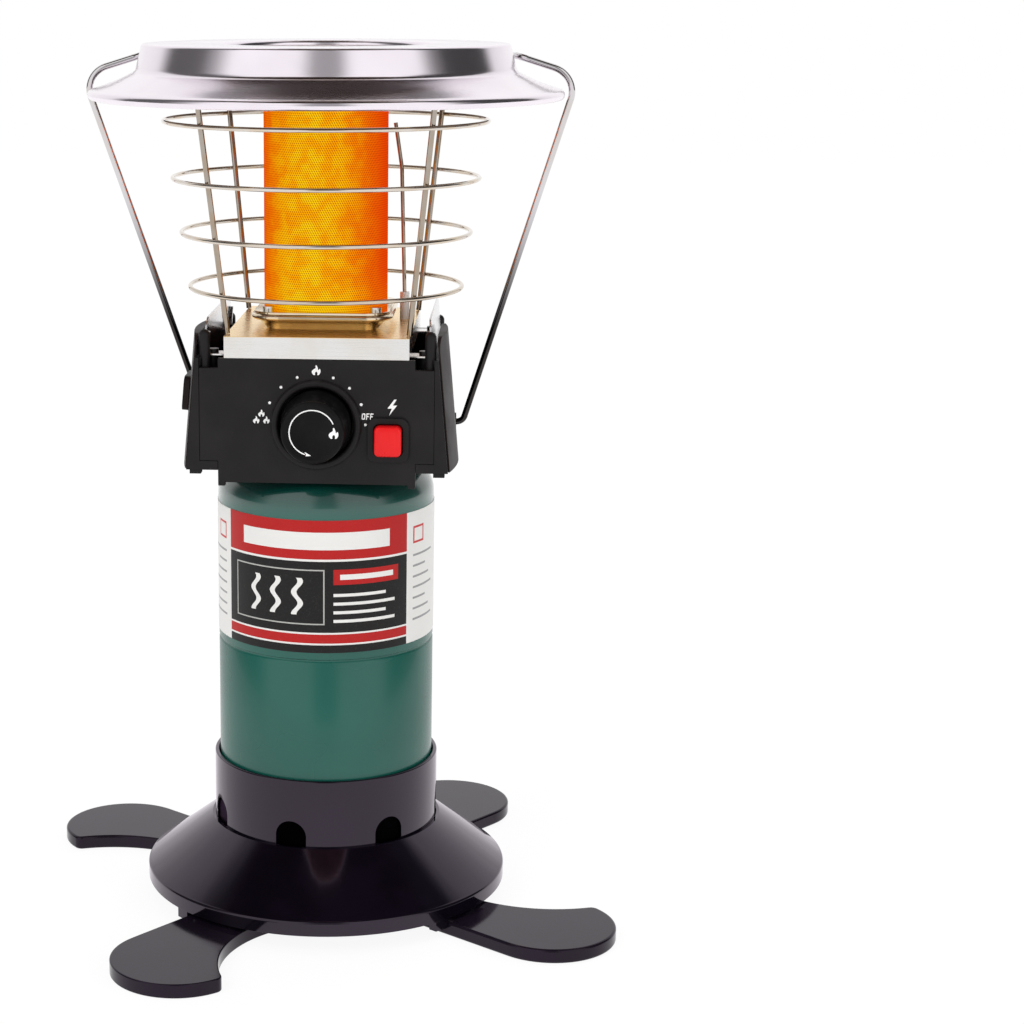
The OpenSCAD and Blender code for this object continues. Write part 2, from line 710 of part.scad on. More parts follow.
module regulator_body() color([0.62, 0.62, 0.60]) difference() {
    union() {
        translate([-body_w / 2, body_front, socket_top])
            cube([body_w, body_back - body_front, body_top - socket_top]);
        translate([0, body_front + 1, knob_z]) rotate([90, 0, 0]) cylinder(r = gland_r, h = gland_h + 1);
        translate([0, body_back - 1, (socket_top + body_top) / 2]) rotate([-90, 0, 0])
            cylinder(r = spring_cap_r, h = spring_cap_h + 1);
    }
    translate([0, body_front + stem_bore, knob_z]) rotate([90, 0, 0])
        cylinder(r = stem_r + run_gap, h = stem_bore + gland_h + 1);
    translate([0, 0, body_top - jet_bore]) cylinder(r = jet_seat_r, h = jet_bore + 1);
}

module inlet_socket() color([0.66, 0.55, 0.30]) difference() {
    translate([0, 0, socket_z]) cylinder(r = socket_r, h = socket_top - socket_z);
    translate([0, 0, socket_z - 1]) cylinder(r = neck_r + 0.08, h = neck_top - socket_z + 1.3);
    translate([0, 0, socket_z - 1]) cylinder(r = 3, h = 30);
}

module gas_jet() color([0.78, 0.62, 0.30]) difference() {
    union() {
        translate([0, 0, body_top - jet_bore]) cylinder(r = jet_seat_r, h = jet_bore + 0.5);
        translate([0, 0, body_top]) cylinder(r = jet_r, h = jet_hex_h, $fn = 6);
        translate([0, 0, body_top]) cylinder(r = jet_tip_r, h = jet_h);
    }
    translate([0, 0, body_top - jet_bore - 1]) cylinder(r = jet_hole_r, h = jet_h + jet_bore + 2, $fn = 24);
}

module mixing_tube() color([0.70, 0.70, 0.70]) difference() {
    union() {
        translate([0, 0, body_top + 0.1]) cylinder(r = tube_r, h = base_z - body_top - 0.2);
        translate([0, 0, body_top + 0.1]) cylinder(r = tube_r + tube_lip, h = tube_lip_t);
    }
    translate([0, 0, body_top - 1]) cylinder(r = tube_r - tube_t, h = base_z - body_top + 2);
    for (a = [0, 90]) rotate(a) translate([-2 * tube_r, 0, body_top + jet_h - 1]) rotate([0, 90, 0])
        cylinder(r = air_hole_r, h = 4 * tube_r);
}

// Depths behind the front panel's face, measured along the button's travel
button_back = -7;
piezo_front = button_back - button_travel - 1;
piezo_r = 5.4;
piezo_l = 30;
lead_back = 50;
lead_up = 14;
plunger_r = 3;
cup_floor = 2.3;
cup_z = piezo_front - 2.4 - cup_floor;
coil_r = 4.3;
coil_wire_r = 0.4;
coil_turns = 4;
coil_steps = 16;

module igniter_button() color([0.86, 0.12, 0.12]) on_panel(button_x, button_z) {
    translate([0, 0, button_back]) linear_extrude(5 - button_back) round_rect(button_w, button_h, button_round);
    linear_extrude(5.8) round_rect(button_w - 1.6, button_h - 1.6, button_round - 0.8);
    translate([0, 0, piezo_front - 5]) cylinder(r = plunger_r, h = button_back - piezo_front + 6);
}

module button_bezel() color([0.09, 0.08, 0.08]) on_panel(button_x, button_z) difference() {
    union() {
        translate([0, 0, cup_z]) linear_extrude(-cup_z)
            round_rect(button_w + 2 * button_rim - 0.2, button_h + 2 * button_rim - 0.2, button_round + 0.9);
        linear_extrude(1.6)
            round_rect(button_w + 2 * button_rim + 1, button_h + 2 * button_rim + 1, button_round + 1.5);
    }
    translate([0, 0, cup_z + cup_floor]) linear_extrude(30)
        round_rect(button_w + 0.3, button_h + 0.3, button_round + 0.15);
    translate([0, 0, cup_z - 1]) cylinder(r = piezo_r + 0.1, h = cup_floor + 2);
}

// A coil spring between the igniter and the back of the button
function coil_point(i) = let (a = 360 * i / coil_steps, h = piezo_front + coil_wire_r
    + (button_back - piezo_front - 2 * coil_wire_r - 0.1) * i / (coil_steps * coil_turns))
    [for (k = [0:5]) [(coil_r + coil_wire_r * cos(60 * k)) * cos(a), (coil_r + coil_wire_r * cos(60 * k)) * sin(a),
    h + coil_wire_r * sin(60 * k)]];
module button_spring() color("silver") on_panel(button_x, button_z) {
    n = coil_steps * coil_turns;
    polyhedron(points = [for (i = [0:n]) each coil_point(i)], faces = concat([[5, 4, 3, 2, 1, 0]],
        [[for (k = [0:5]) 6 * n + k]],
        [for (i = [0:n - 1], k = [0:5]) let (m = (k + 1) % 6) each [
            [6 * i + k, 6 * i + m, 6 * (i + 1) + m], [6 * i + k, 6 * (i + 1) + m, 6 * (i + 1) + k]]]));
}

module piezo_igniter() color([0.82, 0.80, 0.74]) on_panel(button_x, button_z) difference() {
    union() {
        translate([0, 0, piezo_front - piezo_l]) cylinder(r = piezo_r, h = piezo_l);
        translate([0, 0, cup_z + cup_floor]) cylinder(r = button_w / 2 + 0.05, h = piezo_front - cup_z - cup_floor);
    }
    translate([0, 0, piezo_front - 11]) cylinder(r = plunger_r + run_gap, h = 20);
    translate([0, 0, piezo_front - piezo_l - 3]) cylinder(r = 1, h = 8);
}

// The lead runs inside the housing from the igniter's tail up to the insulator
module igniter_lead() color([0.20, 0.20, 0.22]) wire([[button_x, panel_y - piezo_front + piezo_l - 4, button_z],
    [button_x, panel_y + lead_back, button_z], [electrode_x, electrode_y, button_z + lead_up],
    [electrode_x, electrode_y, tray_z - 5]], [5, 6], 0.95);

// ---------- burner ----------

module burner_tray() color([0.80, 0.79, 0.77]) {
    difference() {
        translate([-tray_w / 2, -tray_d / 2, panel_top]) cube([tray_w, tray_d, flange_h]);
        translate([sheet_t - tray_w / 2, sheet_t - tray_d / 2, panel_top - 1])
            cube([tray_w - 2 * sheet_t, tray_d - 2 * sheet_t, flange_h + 1 - sheet_t]);
        translate([0, 0, tray_z - 2]) cylinder(r = tube_r + 0.5, h = 4);
        translate([electrode_x, electrode_y, tray_z - 20]) cylinder(r = insulator_r + 0.1, h = 40);
    }
    translate([0, 0, tab_z]) for (sx = [-1, 1], sy = [-1, 1]) difference() {
        translate([sx > 0 ? tray_w / 2 - sheet_t / 2 : -tab_x - 3, sy * tab_y - tab_d / 2, 0])
            cube([tab_x + 3 - tray_w / 2 + sheet_t / 2, tab_d, sheet_t]);
        translate([sx * tab_x, sy * tab_y, -1]) cylinder(r = 1.5, h = 3, $fn = 24);
    }
}

module tray_screws() color([0.08, 0.08, 0.08]) four_corners(tab_x, tab_y) {
    translate([0, 0, tab_z + sheet_t]) cylinder(r = tray_screw_head, h = tray_screw_head_h, $fn = 32);
    translate([0, 0, tab_z - tray_screw_l]) cylinder(r = tray_screw_r, h = tray_screw_l + sheet_t + 1, $fn = 24);
}

module pan_roll(w, r_corner, r) {
    c = w / 2 - r_corner;
    for (a = [0:90:270]) rotate(a) {
        translate([w / 2, 0, 0]) rotate([90, 0, 0]) cylinder(r = r, h = 2 * c, center = true);
        translate([c, c, 0]) rotate_extrude(angle = 90) translate([r_corner, 0]) circle(r, $fn = 32);
    }
}

// The dish of the pan, drawn in by its wall for the inside
module pan_dish(inset, low) {
    hull() for (step = [[0, 0], [pan_rise, pan_taper]]) let (in = inset + 1 + pan_taper - step[1])
        translate([0, 0, tray_z + low + step[0]]) linear_extrude(0.02)
        round_rect(pan_w - 2 * in, pan_w - 2 * in, pan_round - in);
}

module burner_pan() color([0.84, 0.82, 0.78]) difference() {
    union() {
        translate([0, 0, pan_z]) pan_roll(pan_w, pan_round, pan_roll_r);
        difference() {
            pan_dish(0, 0);
            pan_dish(pan_t, pan_t);
        }
    }
    translate([0, 0, tray_z - 1]) cylinder(r = tube_r + 0.1, h = 4);
}

module burner_base() color([0.78, 0.77, 0.74]) translate([0, 0, base_z]) difference() {
    linear_extrude(base_t) round_rect(pan_w, pan_w, pan_round);
    translate([0, 0, -1]) cylinder(r = tube_r - tube_t, h = 4);
    translate([0, 0, -1]) four_corners(base_screw, base_screw_y) cylinder(r = base_screw_r + 0.1, h = 4, $fn = 24);
}

module base_screws() color("silver") four_corners(base_screw, base_screw_y) difference() {
    union() {
        translate([0, 0, mesh_z]) cylinder(r = base_screw_head, h = base_screw_head_h, $fn = 32);
        translate([0, 0, base_z - base_screw_l]) cylinder(r = base_screw_r, h = base_screw_l + base_t + 0.8, $fn = 24);
    }
    translate([-base_screw_head - 1, -0.35, mesh_z + 0.9]) cube([2 * base_screw_head + 2, 0.7, base_screw_head_h]);
}

module inner_tube() color([0.70, 0.68, 0.64]) difference() {
    translate([0, 0, mesh_z]) cylinder(r = inner_r, h = mesh_h - 6);
    translate([0, 0, mesh_z - 1]) cylinder(r = inner_r - 1, h = mesh_h - 6);
    for (row = [1:4], a = [0:45:135]) rotate(a + 22.5 * (row % 2))
        translate([-30, 0, mesh_z + row * (mesh_h - 6) / 5]) rotate([0, 90, 0])
        cylinder(r = 2, h = 60, $fn = 24);
}

module burner_mesh() color([1.0, 0.55, 0.05]) translate([0, 0, mesh_z]) difference() {
    cylinder(r = mesh_r, h = mesh_h);
    translate([0, 0, -1]) cylinder(r = mesh_r - mesh_t, h = mesh_h + 2);
}

module burner_cap() color([0.75, 0.73, 0.70]) rotate_extrude() polygon(sheet(concat(
    [[0, mesh_top + cap_h]], arc([mesh_r + cap_skirt - cap_round, mesh_top + cap_h - cap_round], cap_round, 90, 0, 5),
    [[mesh_r + cap_skirt, mesh_top - cap_drop]]), cap_t));

module spark_electrode() color([0.60, 0.50, 0.40]) wire([[electrode_x, electrode_y, insulator_top - 4],
    [electrode_x - 1.7, electrode_y, mesh_z + 0.67 * mesh_h],
    [mesh_r + 2.5, electrode_y, mesh_z + 0.89 * mesh_h]], [8], wire_r);

module electrode_insulator() color("white") difference() {
    translate([electrode_x, electrode_y, tray_z - 6]) cylinder(r = insulator_r, h = insulator_top - tray_z + 6);
    translate([electrode_x, electrode_y, insulator_top - 4]) cylinder(r = wire_r + 0.05, h = 6);
    translate([electrode_x, electrode_y, tray_z - 8]) cylinder(r = 1, h = 4);
}

// A sheet that stands inside the housing's wall, its front and back edges rolled
module heat_shield(s) color([0.86, 0.85, 0.83]) {
    low = tab_z + sheet_t + 0.3 - house_z;
    wide = post_y - post_r - 0.6;
    tongue = tab_y - tab_d / 2 - 1;
    high = low + shield_h;
    on_side(s) translate([0, 0, -house_wall - sheet_t - seat_gap]) {
        linear_extrude(sheet_t) union() {
            translate([low - 12, -tongue]) square([14, 2 * tongue]);
            translate([low, -wide + 0.8]) square([shield_h - shield_round, 2 * wide - 1.6]);
            translate([low, shield_round - wide]) square([shield_h, 2 * (wide - shield_round)]);
            for (y = [-1, 1]) translate([high - shield_round, y * (wide - shield_round)]) circle(shield_round);
        }
        for (y = [-1, 1]) translate([low, y * (wide - 1.2), -0.4]) rotate([0, 90, 0])
            cylinder(r = 1.2, h = shield_h - shield_round + 1);
    }
}
module heat_shield_right() heat_shield(1);
module heat_shield_left() heat_shield(-1);

// ---------- guard and hood ----------

module guard_rods() color([0.62, 0.60, 0.58]) for (sx = [-1, 1], sy = [-1, 1])
    rod([sx * rod_at(rod_foot_z), sy * rod_at(rod_foot_z), rod_foot_z],
        [sx * rod_at(rod_top_z), sy * rod_at(rod_top_z), rod_top_z], rod_r);

module guard_ring(i) color([0.85, 0.84, 0.82]) {
    z = tray_z + ring_rises[i];
    translate([0, 0, z]) rotate_extrude() translate([ring_radius(z), 0]) circle(ring_wire_r, $fn = 24);
}
module guard_ring_1() guard_ring(0);
module guard_ring_2() guard_ring(1);
module guard_ring_3() guard_ring(2);
module guard_ring_4() guard_ring(3);

hem_c = [brim_r - hem_r, brim_z - 1.2];
hem_path = arc(hem_c, hem_r, 68, -170, 16);
top_path = concat([[hood_hole_r, hood_z - 4.5]],
    arc([hood_hole_r + 2, hood_z - 2], 2, 180, 90, 6),
    arc([band_top_r - hood_round, hood_z - hood_round], hood_round, 90, 14, 6));
fold_path = arc([band_foot_r + 3.2, band_foot_z + 1], 3.6, 190, 248, 7);
band_top = top_path[len(top_path) - 1];
seam = band_top + (fold_path[0] - band_top) * 0.15;

module hood() color([0.72, 0.71, 0.73]) difference() {
    rotate_extrude($fn = 144) polygon(sheet(concat(top_path, [seam]), hood_t));
    rivet_places() {
        translate([0, 0, -3]) cylinder(r = rivet_r, h = 4, $fn = 24);
        translate([0, 0, -rivet_sink]) cylinder(r1 = rivet_r, r2 = rivet_head_r, h = rivet_sink, $fn = 32);
        cylinder(r = rivet_head_r, h = 1, $fn = 32);
    }
}

module hood_brim() color([0.72, 0.71, 0.73])
    rotate_extrude($fn = 144) polygon(sheet(concat([seam], fold_path, hem_path), hood_t));

// One rivet beside each rod's end, on the hood's flat top
module rivet_places() {
    for (k = [0:3]) rotate(45 + 90 * k) translate([sqrt(2) * hood_tab - rivet_off, 0, hood_z]) children();
}

module hood_tabs() color([0.70, 0.69, 0.68]) difference() {
    for (k = [0:3]) rotate(45 + 90 * k)
        translate([sqrt(2) * hood_tab - rivet_off - 5, -5, hood_z - hood_t - tab_t]) cube([14, 10, tab_t]);
    rivet_places() translate([0, 0, -6]) cylinder(r = rivet_r, h = 6, $fn = 24);
}

module hood_rivets() color("silver") rivet_places() {
    translate([0, 0, -hood_t - tab_t - rivet_tail]) cylinder(r = rivet_r, h = hood_t + tab_t + rivet_tail, $fn = 24);
    translate([0, 0, -rivet_sink]) cylinder(r1 = rivet_r, r2 = rivet_head_r, h = rivet_sink, $fn = 32);
    translate([0, 0, -hood_t - tab_t - rivet_tail]) cylinder(r = rivet_head_r, h = rivet_tail, $fn = 32);
}

// ---------- bail ----------

module bail_bushing(s) color([0.08, 0.08, 0.08]) difference() {
    translate([s * (side_x(bail_z) + bushing_proud), bail_back, bail_z]) rotate([0, s * -90, 0]) {
        cylinder(r = bushing_r, h = bushing_proud + house_wall + 1);
        cylinder(r = bushing_r + 1.2, h = bushing_lip);
    }
    translate([0, bail_back, bail_z]) rotate([0, s * 90, 0]) cylinder(r = bail_r + run_gap, h = 90);
}
module bail_bushing_right() bail_bushing(1);
module bail_bushing_left() bail_bushing(-1);

module bail() color([0.78, 0.77, 0.76]) {
    turn = asin(cross_y / cross_r);
    tip = [cross_x, cross_y, cross_z];
    along = [-sin(turn), cos(turn), 0];
    for (s = [-1, 1]) mirror([s < 0 ? 1 : 0, 0, 0]) {
        wire([[side_x(bail_z) - 2.5, bail_back, bail_z], [bail_foot_x, bail_back, bail_z],
            [shoulder_x, shoulder_y, shoulder_z], tip - along * 5, tip], [4, bail_bend, 5], bail_r);
        rod(tip - along * 0.2, tip + along * 0.2, bail_r + 0.04);
    }
    translate([0, 0, cross_z]) rotate(turn) rotate_extrude(angle = 180 - 2 * turn)
        translate([cross_r, 0]) circle(bail_r, $fn = 32);
}

stand_skirt();
stand_collar();
leg_pins();
leg_front_right();
leg_back_right();
leg_back_left();
leg_front_left();
tank_body();
tank_label();
tank_valve();
housing_shell();
front_panel();
bottom_plate();
side_cover_right();
side_cover_left();
knob_bezel();
knob();
valve_stem();
regulator_body();
inlet_socket();
gas_jet();
mixing_tube();
igniter_button();
button_bezel();
button_spring();
piezo_igniter();
igniter_lead();
burner_tray();
tray_screws();
burner_pan();
burner_base();
base_screws();
inner_tube();
burner_mesh();
burner_cap();
spark_electrode();
electrode_insulator();
heat_shield_right();
heat_shield_left();
guard_rods();
guard_ring_1();
guard_ring_2();
guard_ring_3();
guard_ring_4();
hood();
hood_brim();
hood_tabs();
hood_rivets();
bail();
bail_bushing_right();
bail_bushing_left();
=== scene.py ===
"""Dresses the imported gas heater: finishes, printed marks, glowing burner and formed details.

Lengths are in millimetres and angles in degrees, unless a line says otherwise.
"""

import logging
import math
from dataclasses import dataclass
from enum import Enum
from typing import Callable, Optional, Sequence, Union

import bmesh
import bpy
from mathutils import Matrix, Vector


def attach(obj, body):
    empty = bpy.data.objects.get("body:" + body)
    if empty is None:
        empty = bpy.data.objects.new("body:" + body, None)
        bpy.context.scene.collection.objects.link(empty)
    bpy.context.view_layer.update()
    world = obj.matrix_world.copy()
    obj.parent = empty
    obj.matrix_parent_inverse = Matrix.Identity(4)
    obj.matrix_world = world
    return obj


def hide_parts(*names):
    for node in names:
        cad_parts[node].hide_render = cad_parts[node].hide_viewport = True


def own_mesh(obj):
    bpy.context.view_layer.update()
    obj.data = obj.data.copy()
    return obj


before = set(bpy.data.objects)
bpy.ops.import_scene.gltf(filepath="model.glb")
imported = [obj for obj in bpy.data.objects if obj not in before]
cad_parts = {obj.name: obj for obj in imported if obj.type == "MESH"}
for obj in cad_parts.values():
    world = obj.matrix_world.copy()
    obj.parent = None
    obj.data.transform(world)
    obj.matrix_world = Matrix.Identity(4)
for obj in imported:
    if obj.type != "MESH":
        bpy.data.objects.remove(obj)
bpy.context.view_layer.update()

LOG = logging.getLogger("heater")
MM = 0.001
FULL_TURN = 2 * math.pi
TO_DEGREES = 180.0 / math.pi

Colour = tuple[float, float, float]
Point = tuple[float, float, float]
Spot = tuple[float, float]
Number = Union[int, float, "Value"]
Socket = bpy.types.NodeSocket
Material = bpy.types.Material
Shape = bmesh.types.BMesh

WHITE: Colour = (1.0, 1.0, 1.0)
# Where a noise's values lie: nearly all of them, and the higher ones
MOST = (0.3, 0.7)
HIGHER = (0.35, 0.7)


class Body(Enum):
    """The bodies that the made pieces ride on."""

    STAND = "stand"
    TANK = "tank"
    HEAD = "head"
    KNOB = "knob"
    BUTTON = "igniter_button"
    LEG_FRONT_RIGHT = "leg_front_right"
    LEG_BACK_RIGHT = "leg_back_right"
    LEG_BACK_LEFT = "leg_back_left"
    LEG_FRONT_LEFT = "leg_front_left"


LEGS = (Body.LEG_FRONT_RIGHT, Body.LEG_BACK_RIGHT, Body.LEG_BACK_LEFT, Body.LEG_FRONT_LEFT)


# ---------- node trees ----------


def math_method(operation: str, swap: bool = False) -> Callable[..., "Value"]:
    """Makes a method of Value out of a Math node, with the value as its first or last operand."""

    def method(value: "Value", *others: Number) -> "Value":
        """Adds the node, with the other operands beside the value."""
        operands = (*others, value) if swap else (value, *others)
        sockets = dict(enumerate(operands))
        node = value.graph.node("Math", {"operation": operation}, sockets)
        return Value(value.graph, node.outputs[0])

    return method


class Value:
    """A number in a node tree, which Python's operators act on.

    Comparisons give 1 where they hold, otherwise 0.
    """

    __add__ = math_method("ADD")
    __mul__ = math_method("MULTIPLY")
    __sub__ = math_method("SUBTRACT")
    __rsub__ = math_method("SUBTRACT", swap=True)
    __truediv__ = math_method("DIVIDE")
    __abs__ = math_method("ABSOLUTE")
    __gt__ = math_method("GREATER_THAN")
    __lt__ = math_method("LESS_THAN")
    larger = math_method("MAXIMUM")
    smaller = math_method("MINIMUM")
    root = math_method("SQRT")
    sine = math_method("SINE")
    cosine = math_method("COSINE")
    arctangent = math_method("ARCTAN2")
    fraction = math_method("FRACT")
    floor = math_method("FLOOR")

    def __init__(self, graph: "Graph", socket: Socket) -> None:
        """Wraps an output socket of a tree."""
        self.graph = graph
        self.socket = socket

    def lifted(self) -> "Value":
        """Brings a wave from between -1 and 1 to between 0 and 1."""
        return self * 0.5 + 0.5

    def within(self, low: float, high: float) -> "Value":
        """1 between two limits, otherwise 0."""
        return (self > low) * (self < high)

    def ease(self, low: float, high: float, start: float = 0.0, end: float = 1.0) -> "Value":
        """A smooth step from start, at and below low, to end, at and above high."""
        settings = {"interpolation_type": "SMOOTHSTEP"}
        sockets = {0: self, 1: low, 2: high, 3: start, 4: end}
        node = self.graph.node("MapRange", settings, sockets)
        return Value(self.graph, node.outputs[0])

    def about(self, middle: float, below: float, above: float, low: float = 0.3,
              high: float = 0.7) -> "Value":
        """A smooth step from a little below a middle to a little above it."""
        return self.ease(low, high, middle - below, middle + above)


def distance(x: Value, y: Value) -> Value:
    """Distance from the upright axis."""
    return (x * x + y * y).root()


def bearing(x: Value, y: Value) -> Value:
    """Angle about the upright axis, from the front towards +X."""
    return x.arctangent(y * -1.0) * TO_DEGREES


class Graph:
    """A node tree."""

    def __init__(self, tree: bpy.types.NodeTree, output: str) -> None:
        """Empties a tree and gives it an output node of a given type."""
        self.tree = tree
        tree.nodes.clear()
        self.output = self.node(output)

    def node(self, kind: str, settings: Optional[dict] = None,
             sockets: Optional[dict] = None) -> bpy.types.Node:
        """Adds any node, with its properties and then its sockets, which go by name or place."""
        node = self.tree.nodes.new(f"ShaderNode{kind}")
        for key, value in (settings or {}).items():
            setattr(node, key, value)
        for key, value in (sockets or {}).items():
            self.feed(node.inputs[key], value)
        return node

    def feed(self, socket: Socket, value: object) -> None:
        """Links a socket or gives it a value."""
        if isinstance(value, Value):
            self.tree.links.new(value.socket, socket)
        elif isinstance(value, Socket):
            self.tree.links.new(value, socket)
        elif isinstance(value, tuple) and len(value) == 3 and socket.type == "RGBA":
            socket.default_value = (*value, 1.0)
        else:
            socket.default_value = value

    def split(self, vector: Socket) -> tuple[Value, ...]:
        """A vector's three numbers."""
        node = self.node("SeparateXYZ", sockets={0: vector})
        return tuple(Value(self, node.outputs[i]) for i in range(3))

    def ramp(self, share: Value, stops: Sequence[tuple[float, Colour]]) -> Socket:
        """A colour from a ramp of stops."""
        node = self.node("ValToRGB", sockets={0: share})
        elements = node.color_ramp.elements
        while len(elements) < len(stops):
            elements.new(0.5)
        for element, (place, colour) in zip(elements, stops):
            element.position = place
            element.color = (*colour, 1.0)
        return node.outputs[0]

    def blend(self, share: Number, low: object, high: object) -> Socket:
        """A colour between two colours or links, by the share of the second one."""
        sockets = {0: share, 6: low, 7: high}
        return self.node("Mix", {"data_type": "RGBA"}, sockets).outputs[2]

    def finish(self, node: bpy.types.Node) -> None:
        """Links a node to the tree's output."""
        self.tree.links.new(node.outputs[0], self.output.inputs[0])


class MaterialGraph(Graph):
    """The node tree of one material, with the point on the piece as x, y and z."""

    def __init__(self, name: str) -> None:
        """Starts an empty material of a given name."""
        self.material = bpy.data.materials.new(name)
        self.material.use_nodes = True
        super().__init__(self.material.node_tree, "OutputMaterial")
        source = self.node("TexCoord").outputs["Object"]
        sockets = {0: source, "Scale": 1.0 / MM}
        self.point = self.node("VectorMath", {"operation": "SCALE"}, sockets).outputs[0]
        self.x, self.y, self.z = self.split(self.point)

    def texture(self, kind: str, output: str, vector: Socket,
                **sockets: float) -> Value:
        """The number that a texture node gives at a vector."""
        return Value(self, self.node(kind, sockets={"Vector": vector, **sockets}).outputs[output])

    def noise(self, size: float, detail: float, stretch: Point = (1.0, 1.0, 1.0)) -> Value:
        """Soft noise from 0 to 1, by its grain, its octaves and its stretch along each axis."""
        sockets = {0: self.point, 1: stretch}
        squeezed = self.node("VectorMath", {"operation": "DIVIDE"}, sockets).outputs[0]
        return self.texture("TexNoise", "Fac", squeezed, Scale=1.0 / size, Detail=detail)

    def cells(self, size: float) -> Value:
        """Distance to the nearest of scattered points, for a moulded grain."""
        return self.texture("TexVoronoi", "Distance", self.point, Scale=1.0 / size)

    def bump(self, height: Value, depth: float) -> Socket:
        """A bumped normal from a height that runs from 0 to 1."""
        sockets = {"Strength": 1.0, "Distance": depth * MM, "Height": height}
        return self.node("Bump", sockets=sockets).outputs[0]

    def surface(self, **sockets: object) -> Material:
        """Ends the tree in a Principled shader, whose sockets have _ for each space."""
        named = {key.replace("_", " "): value for key, value in sockets.items()}
        self.finish(self.node("BsdfPrincipled", sockets=named))
        return self.material


# ---------- finishes ----------


@dataclass(frozen=True)
class Finish:
    """What each finish has: a name and the record's slot that it belongs to."""

    name: str
    slot: str

    def build(self) -> Material:
        """Makes the material."""
        raise NotImplementedError


@dataclass(frozen=True)
class Moulded(Finish):
    """Injection-moulded plastic with a fine grain and faint handling marks."""

    GRAIN_ROUGHNESS = 0.04
    HAZE = 0.003

    colour: Colour
    roughness: float
    grain: float = 0.35
    depth: float = 0.012
    shine: float = 0.0
    lift: float = 0.25
    gleam: float = 0.38

    def build(self) -> Material:
        """Makes the material."""
        g = MaterialGraph(self.name)
        grain = g.cells(self.grain)
        wear = g.noise(size=14.0, detail=4.0)
        pale = tuple(c * (1 + self.lift) + self.HAZE for c in self.colour)
        worn = wear.about(self.roughness, below=0.04, above=0.05, high=0.75)
        return g.surface(
            Base_Color=g.blend(wear.ease(*HIGHER), self.colour, pale),
            Roughness=worn + grain * self.GRAIN_ROUGHNESS, Coat_Weight=self.shine,
            Coat_Roughness=0.08, Specular_IOR_Level=self.gleam, Normal=g.bump(grain, self.depth),
        )


@dataclass(frozen=True)
class Gloss(Finish):
    """Highly polished plastic with long highlights, and painted shade, matt black, in the collar's
    recesses.
    """

    MIRROR = (0.95, 0.76, 1.0)
    RECESS_RADIUS = 52.25
    RECESS_HEIGHTS = (37.4, 50.4)
    # Painted shade: the colour that fills the collar's recesses
    RECESS_SHADE = (0.001, 0.001, 0.001)
    RECESS_ROUGHNESS = 0.5

    colour: Colour
    sheen: Colour
    roughness: float
    gleam: float
    lacquer: float

    def build(self) -> Material:
        """Makes the material."""
        g = MaterialGraph(self.name)
        drift = g.noise(size=30.0, detail=2.0)
        scuff = g.noise(size=0.9, detail=5.0, stretch=(6.0, 1.0, 1.0))
        # Painted shade: the collar's recesses are made matt black by their place
        shaded_recess = (distance(g.x, g.y) < self.RECESS_RADIUS) * g.z.within(*self.RECESS_HEIGHTS)
        colour = g.blend(drift.ease(*HIGHER), self.colour, self.sheen)
        scuffed = scuff.about(self.roughness, below=0.0, above=0.05, low=0.5, high=0.9)
        return g.surface(
            Base_Color=g.blend(shaded_recess, colour, self.RECESS_SHADE),
            Roughness=scuffed + shaded_recess * self.RECESS_ROUGHNESS, Metallic=shaded_recess,
            Specular_IOR_Level=self.gleam, Specular_Tint=self.MIRROR,
            Coat_Weight=(1.0 - shaded_recess) * self.lacquer, Coat_Roughness=0.04,
            Coat_Tint=self.MIRROR, Normal=g.bump(drift, depth=0.02),
        )


@dataclass(frozen=True)
class Enamel(Finish):
    """Sprayed enamel with a slight orange peel, painted shade towards its foot, and painted shade
    under the housing on its glossy shoulder.
    """

    # Painted shade: darker towards the stand at the foot, and under the housing at the shoulder
    FOOT, FOOT_SHARE, DRIFT_SHARE = (20.0, 90.0, 1.0, 0.0), 0.4, 0.25
    SHOULDER, SHOULDER_SHARE = (190.0, 202.0), 0.75
    COATED = (186.0, 196.0, 0.12, 1.0)

    colour: Colour
    deep: Colour
    shaded: Colour

    def build(self) -> Material:
        """Makes the material."""
        g = MaterialGraph(self.name)
        peel = g.noise(size=1.6, detail=2.0)
        drift = g.noise(size=40.0, detail=2.0)
        # Painted shade towards the foot, mixed with a random drift of tone
        shade_and_drift = g.z.ease(*self.FOOT) * self.FOOT_SHARE + drift.ease(*MOST) * self.DRIFT_SHARE
        colour = g.blend(shade_and_drift, self.colour, self.deep)
        return g.surface(
            # Painted shade under the housing on the shoulder
            Base_Color=g.blend(g.z.ease(*self.SHOULDER) * self.SHOULDER_SHARE, colour, self.shaded),
            Roughness=drift.ease(*MOST, start=0.22, end=0.28),
            Coat_Weight=g.z.ease(*self.COATED), Coat_Roughness=0.04,
            Normal=g.bump(peel, depth=0.008),
        )


@dataclass(frozen=True)
class Sheet(Finish):
    """Sheet metal with a rolled grain along one axis, faint heat tint and a lit top."""

    LIT, LIT_EDGE = (1.0, 0.72, 0.34), 0.3

    colour: Colour
    tint: Colour
    roughness: float
    along: Point = (30.0, 1.0, 1.0)
    grain: float = 0.5
    depth: float = 0.004
    tint_share: float = 0.3
    lit_from: float = 1000.0

    def build(self) -> Material:
        """Makes the material."""
        g = MaterialGraph(self.name)
        lines = g.noise(size=self.grain, detail=4.0, stretch=self.along)
        tinted = g.noise(size=18.0, detail=3.0).ease(low=0.4, high=0.75) * self.tint_share
        colour = g.blend(tinted, self.colour, self.tint)
        lit = g.z.ease(self.lit_from - self.LIT_EDGE, self.lit_from)
        return g.surface(
            Base_Color=g.blend(lit, colour, self.LIT),
            Roughness=lines.about(self.roughness, below=0.015, above=0.02), Metallic=1.0,
            Normal=g.bump(lines, self.depth),
        )


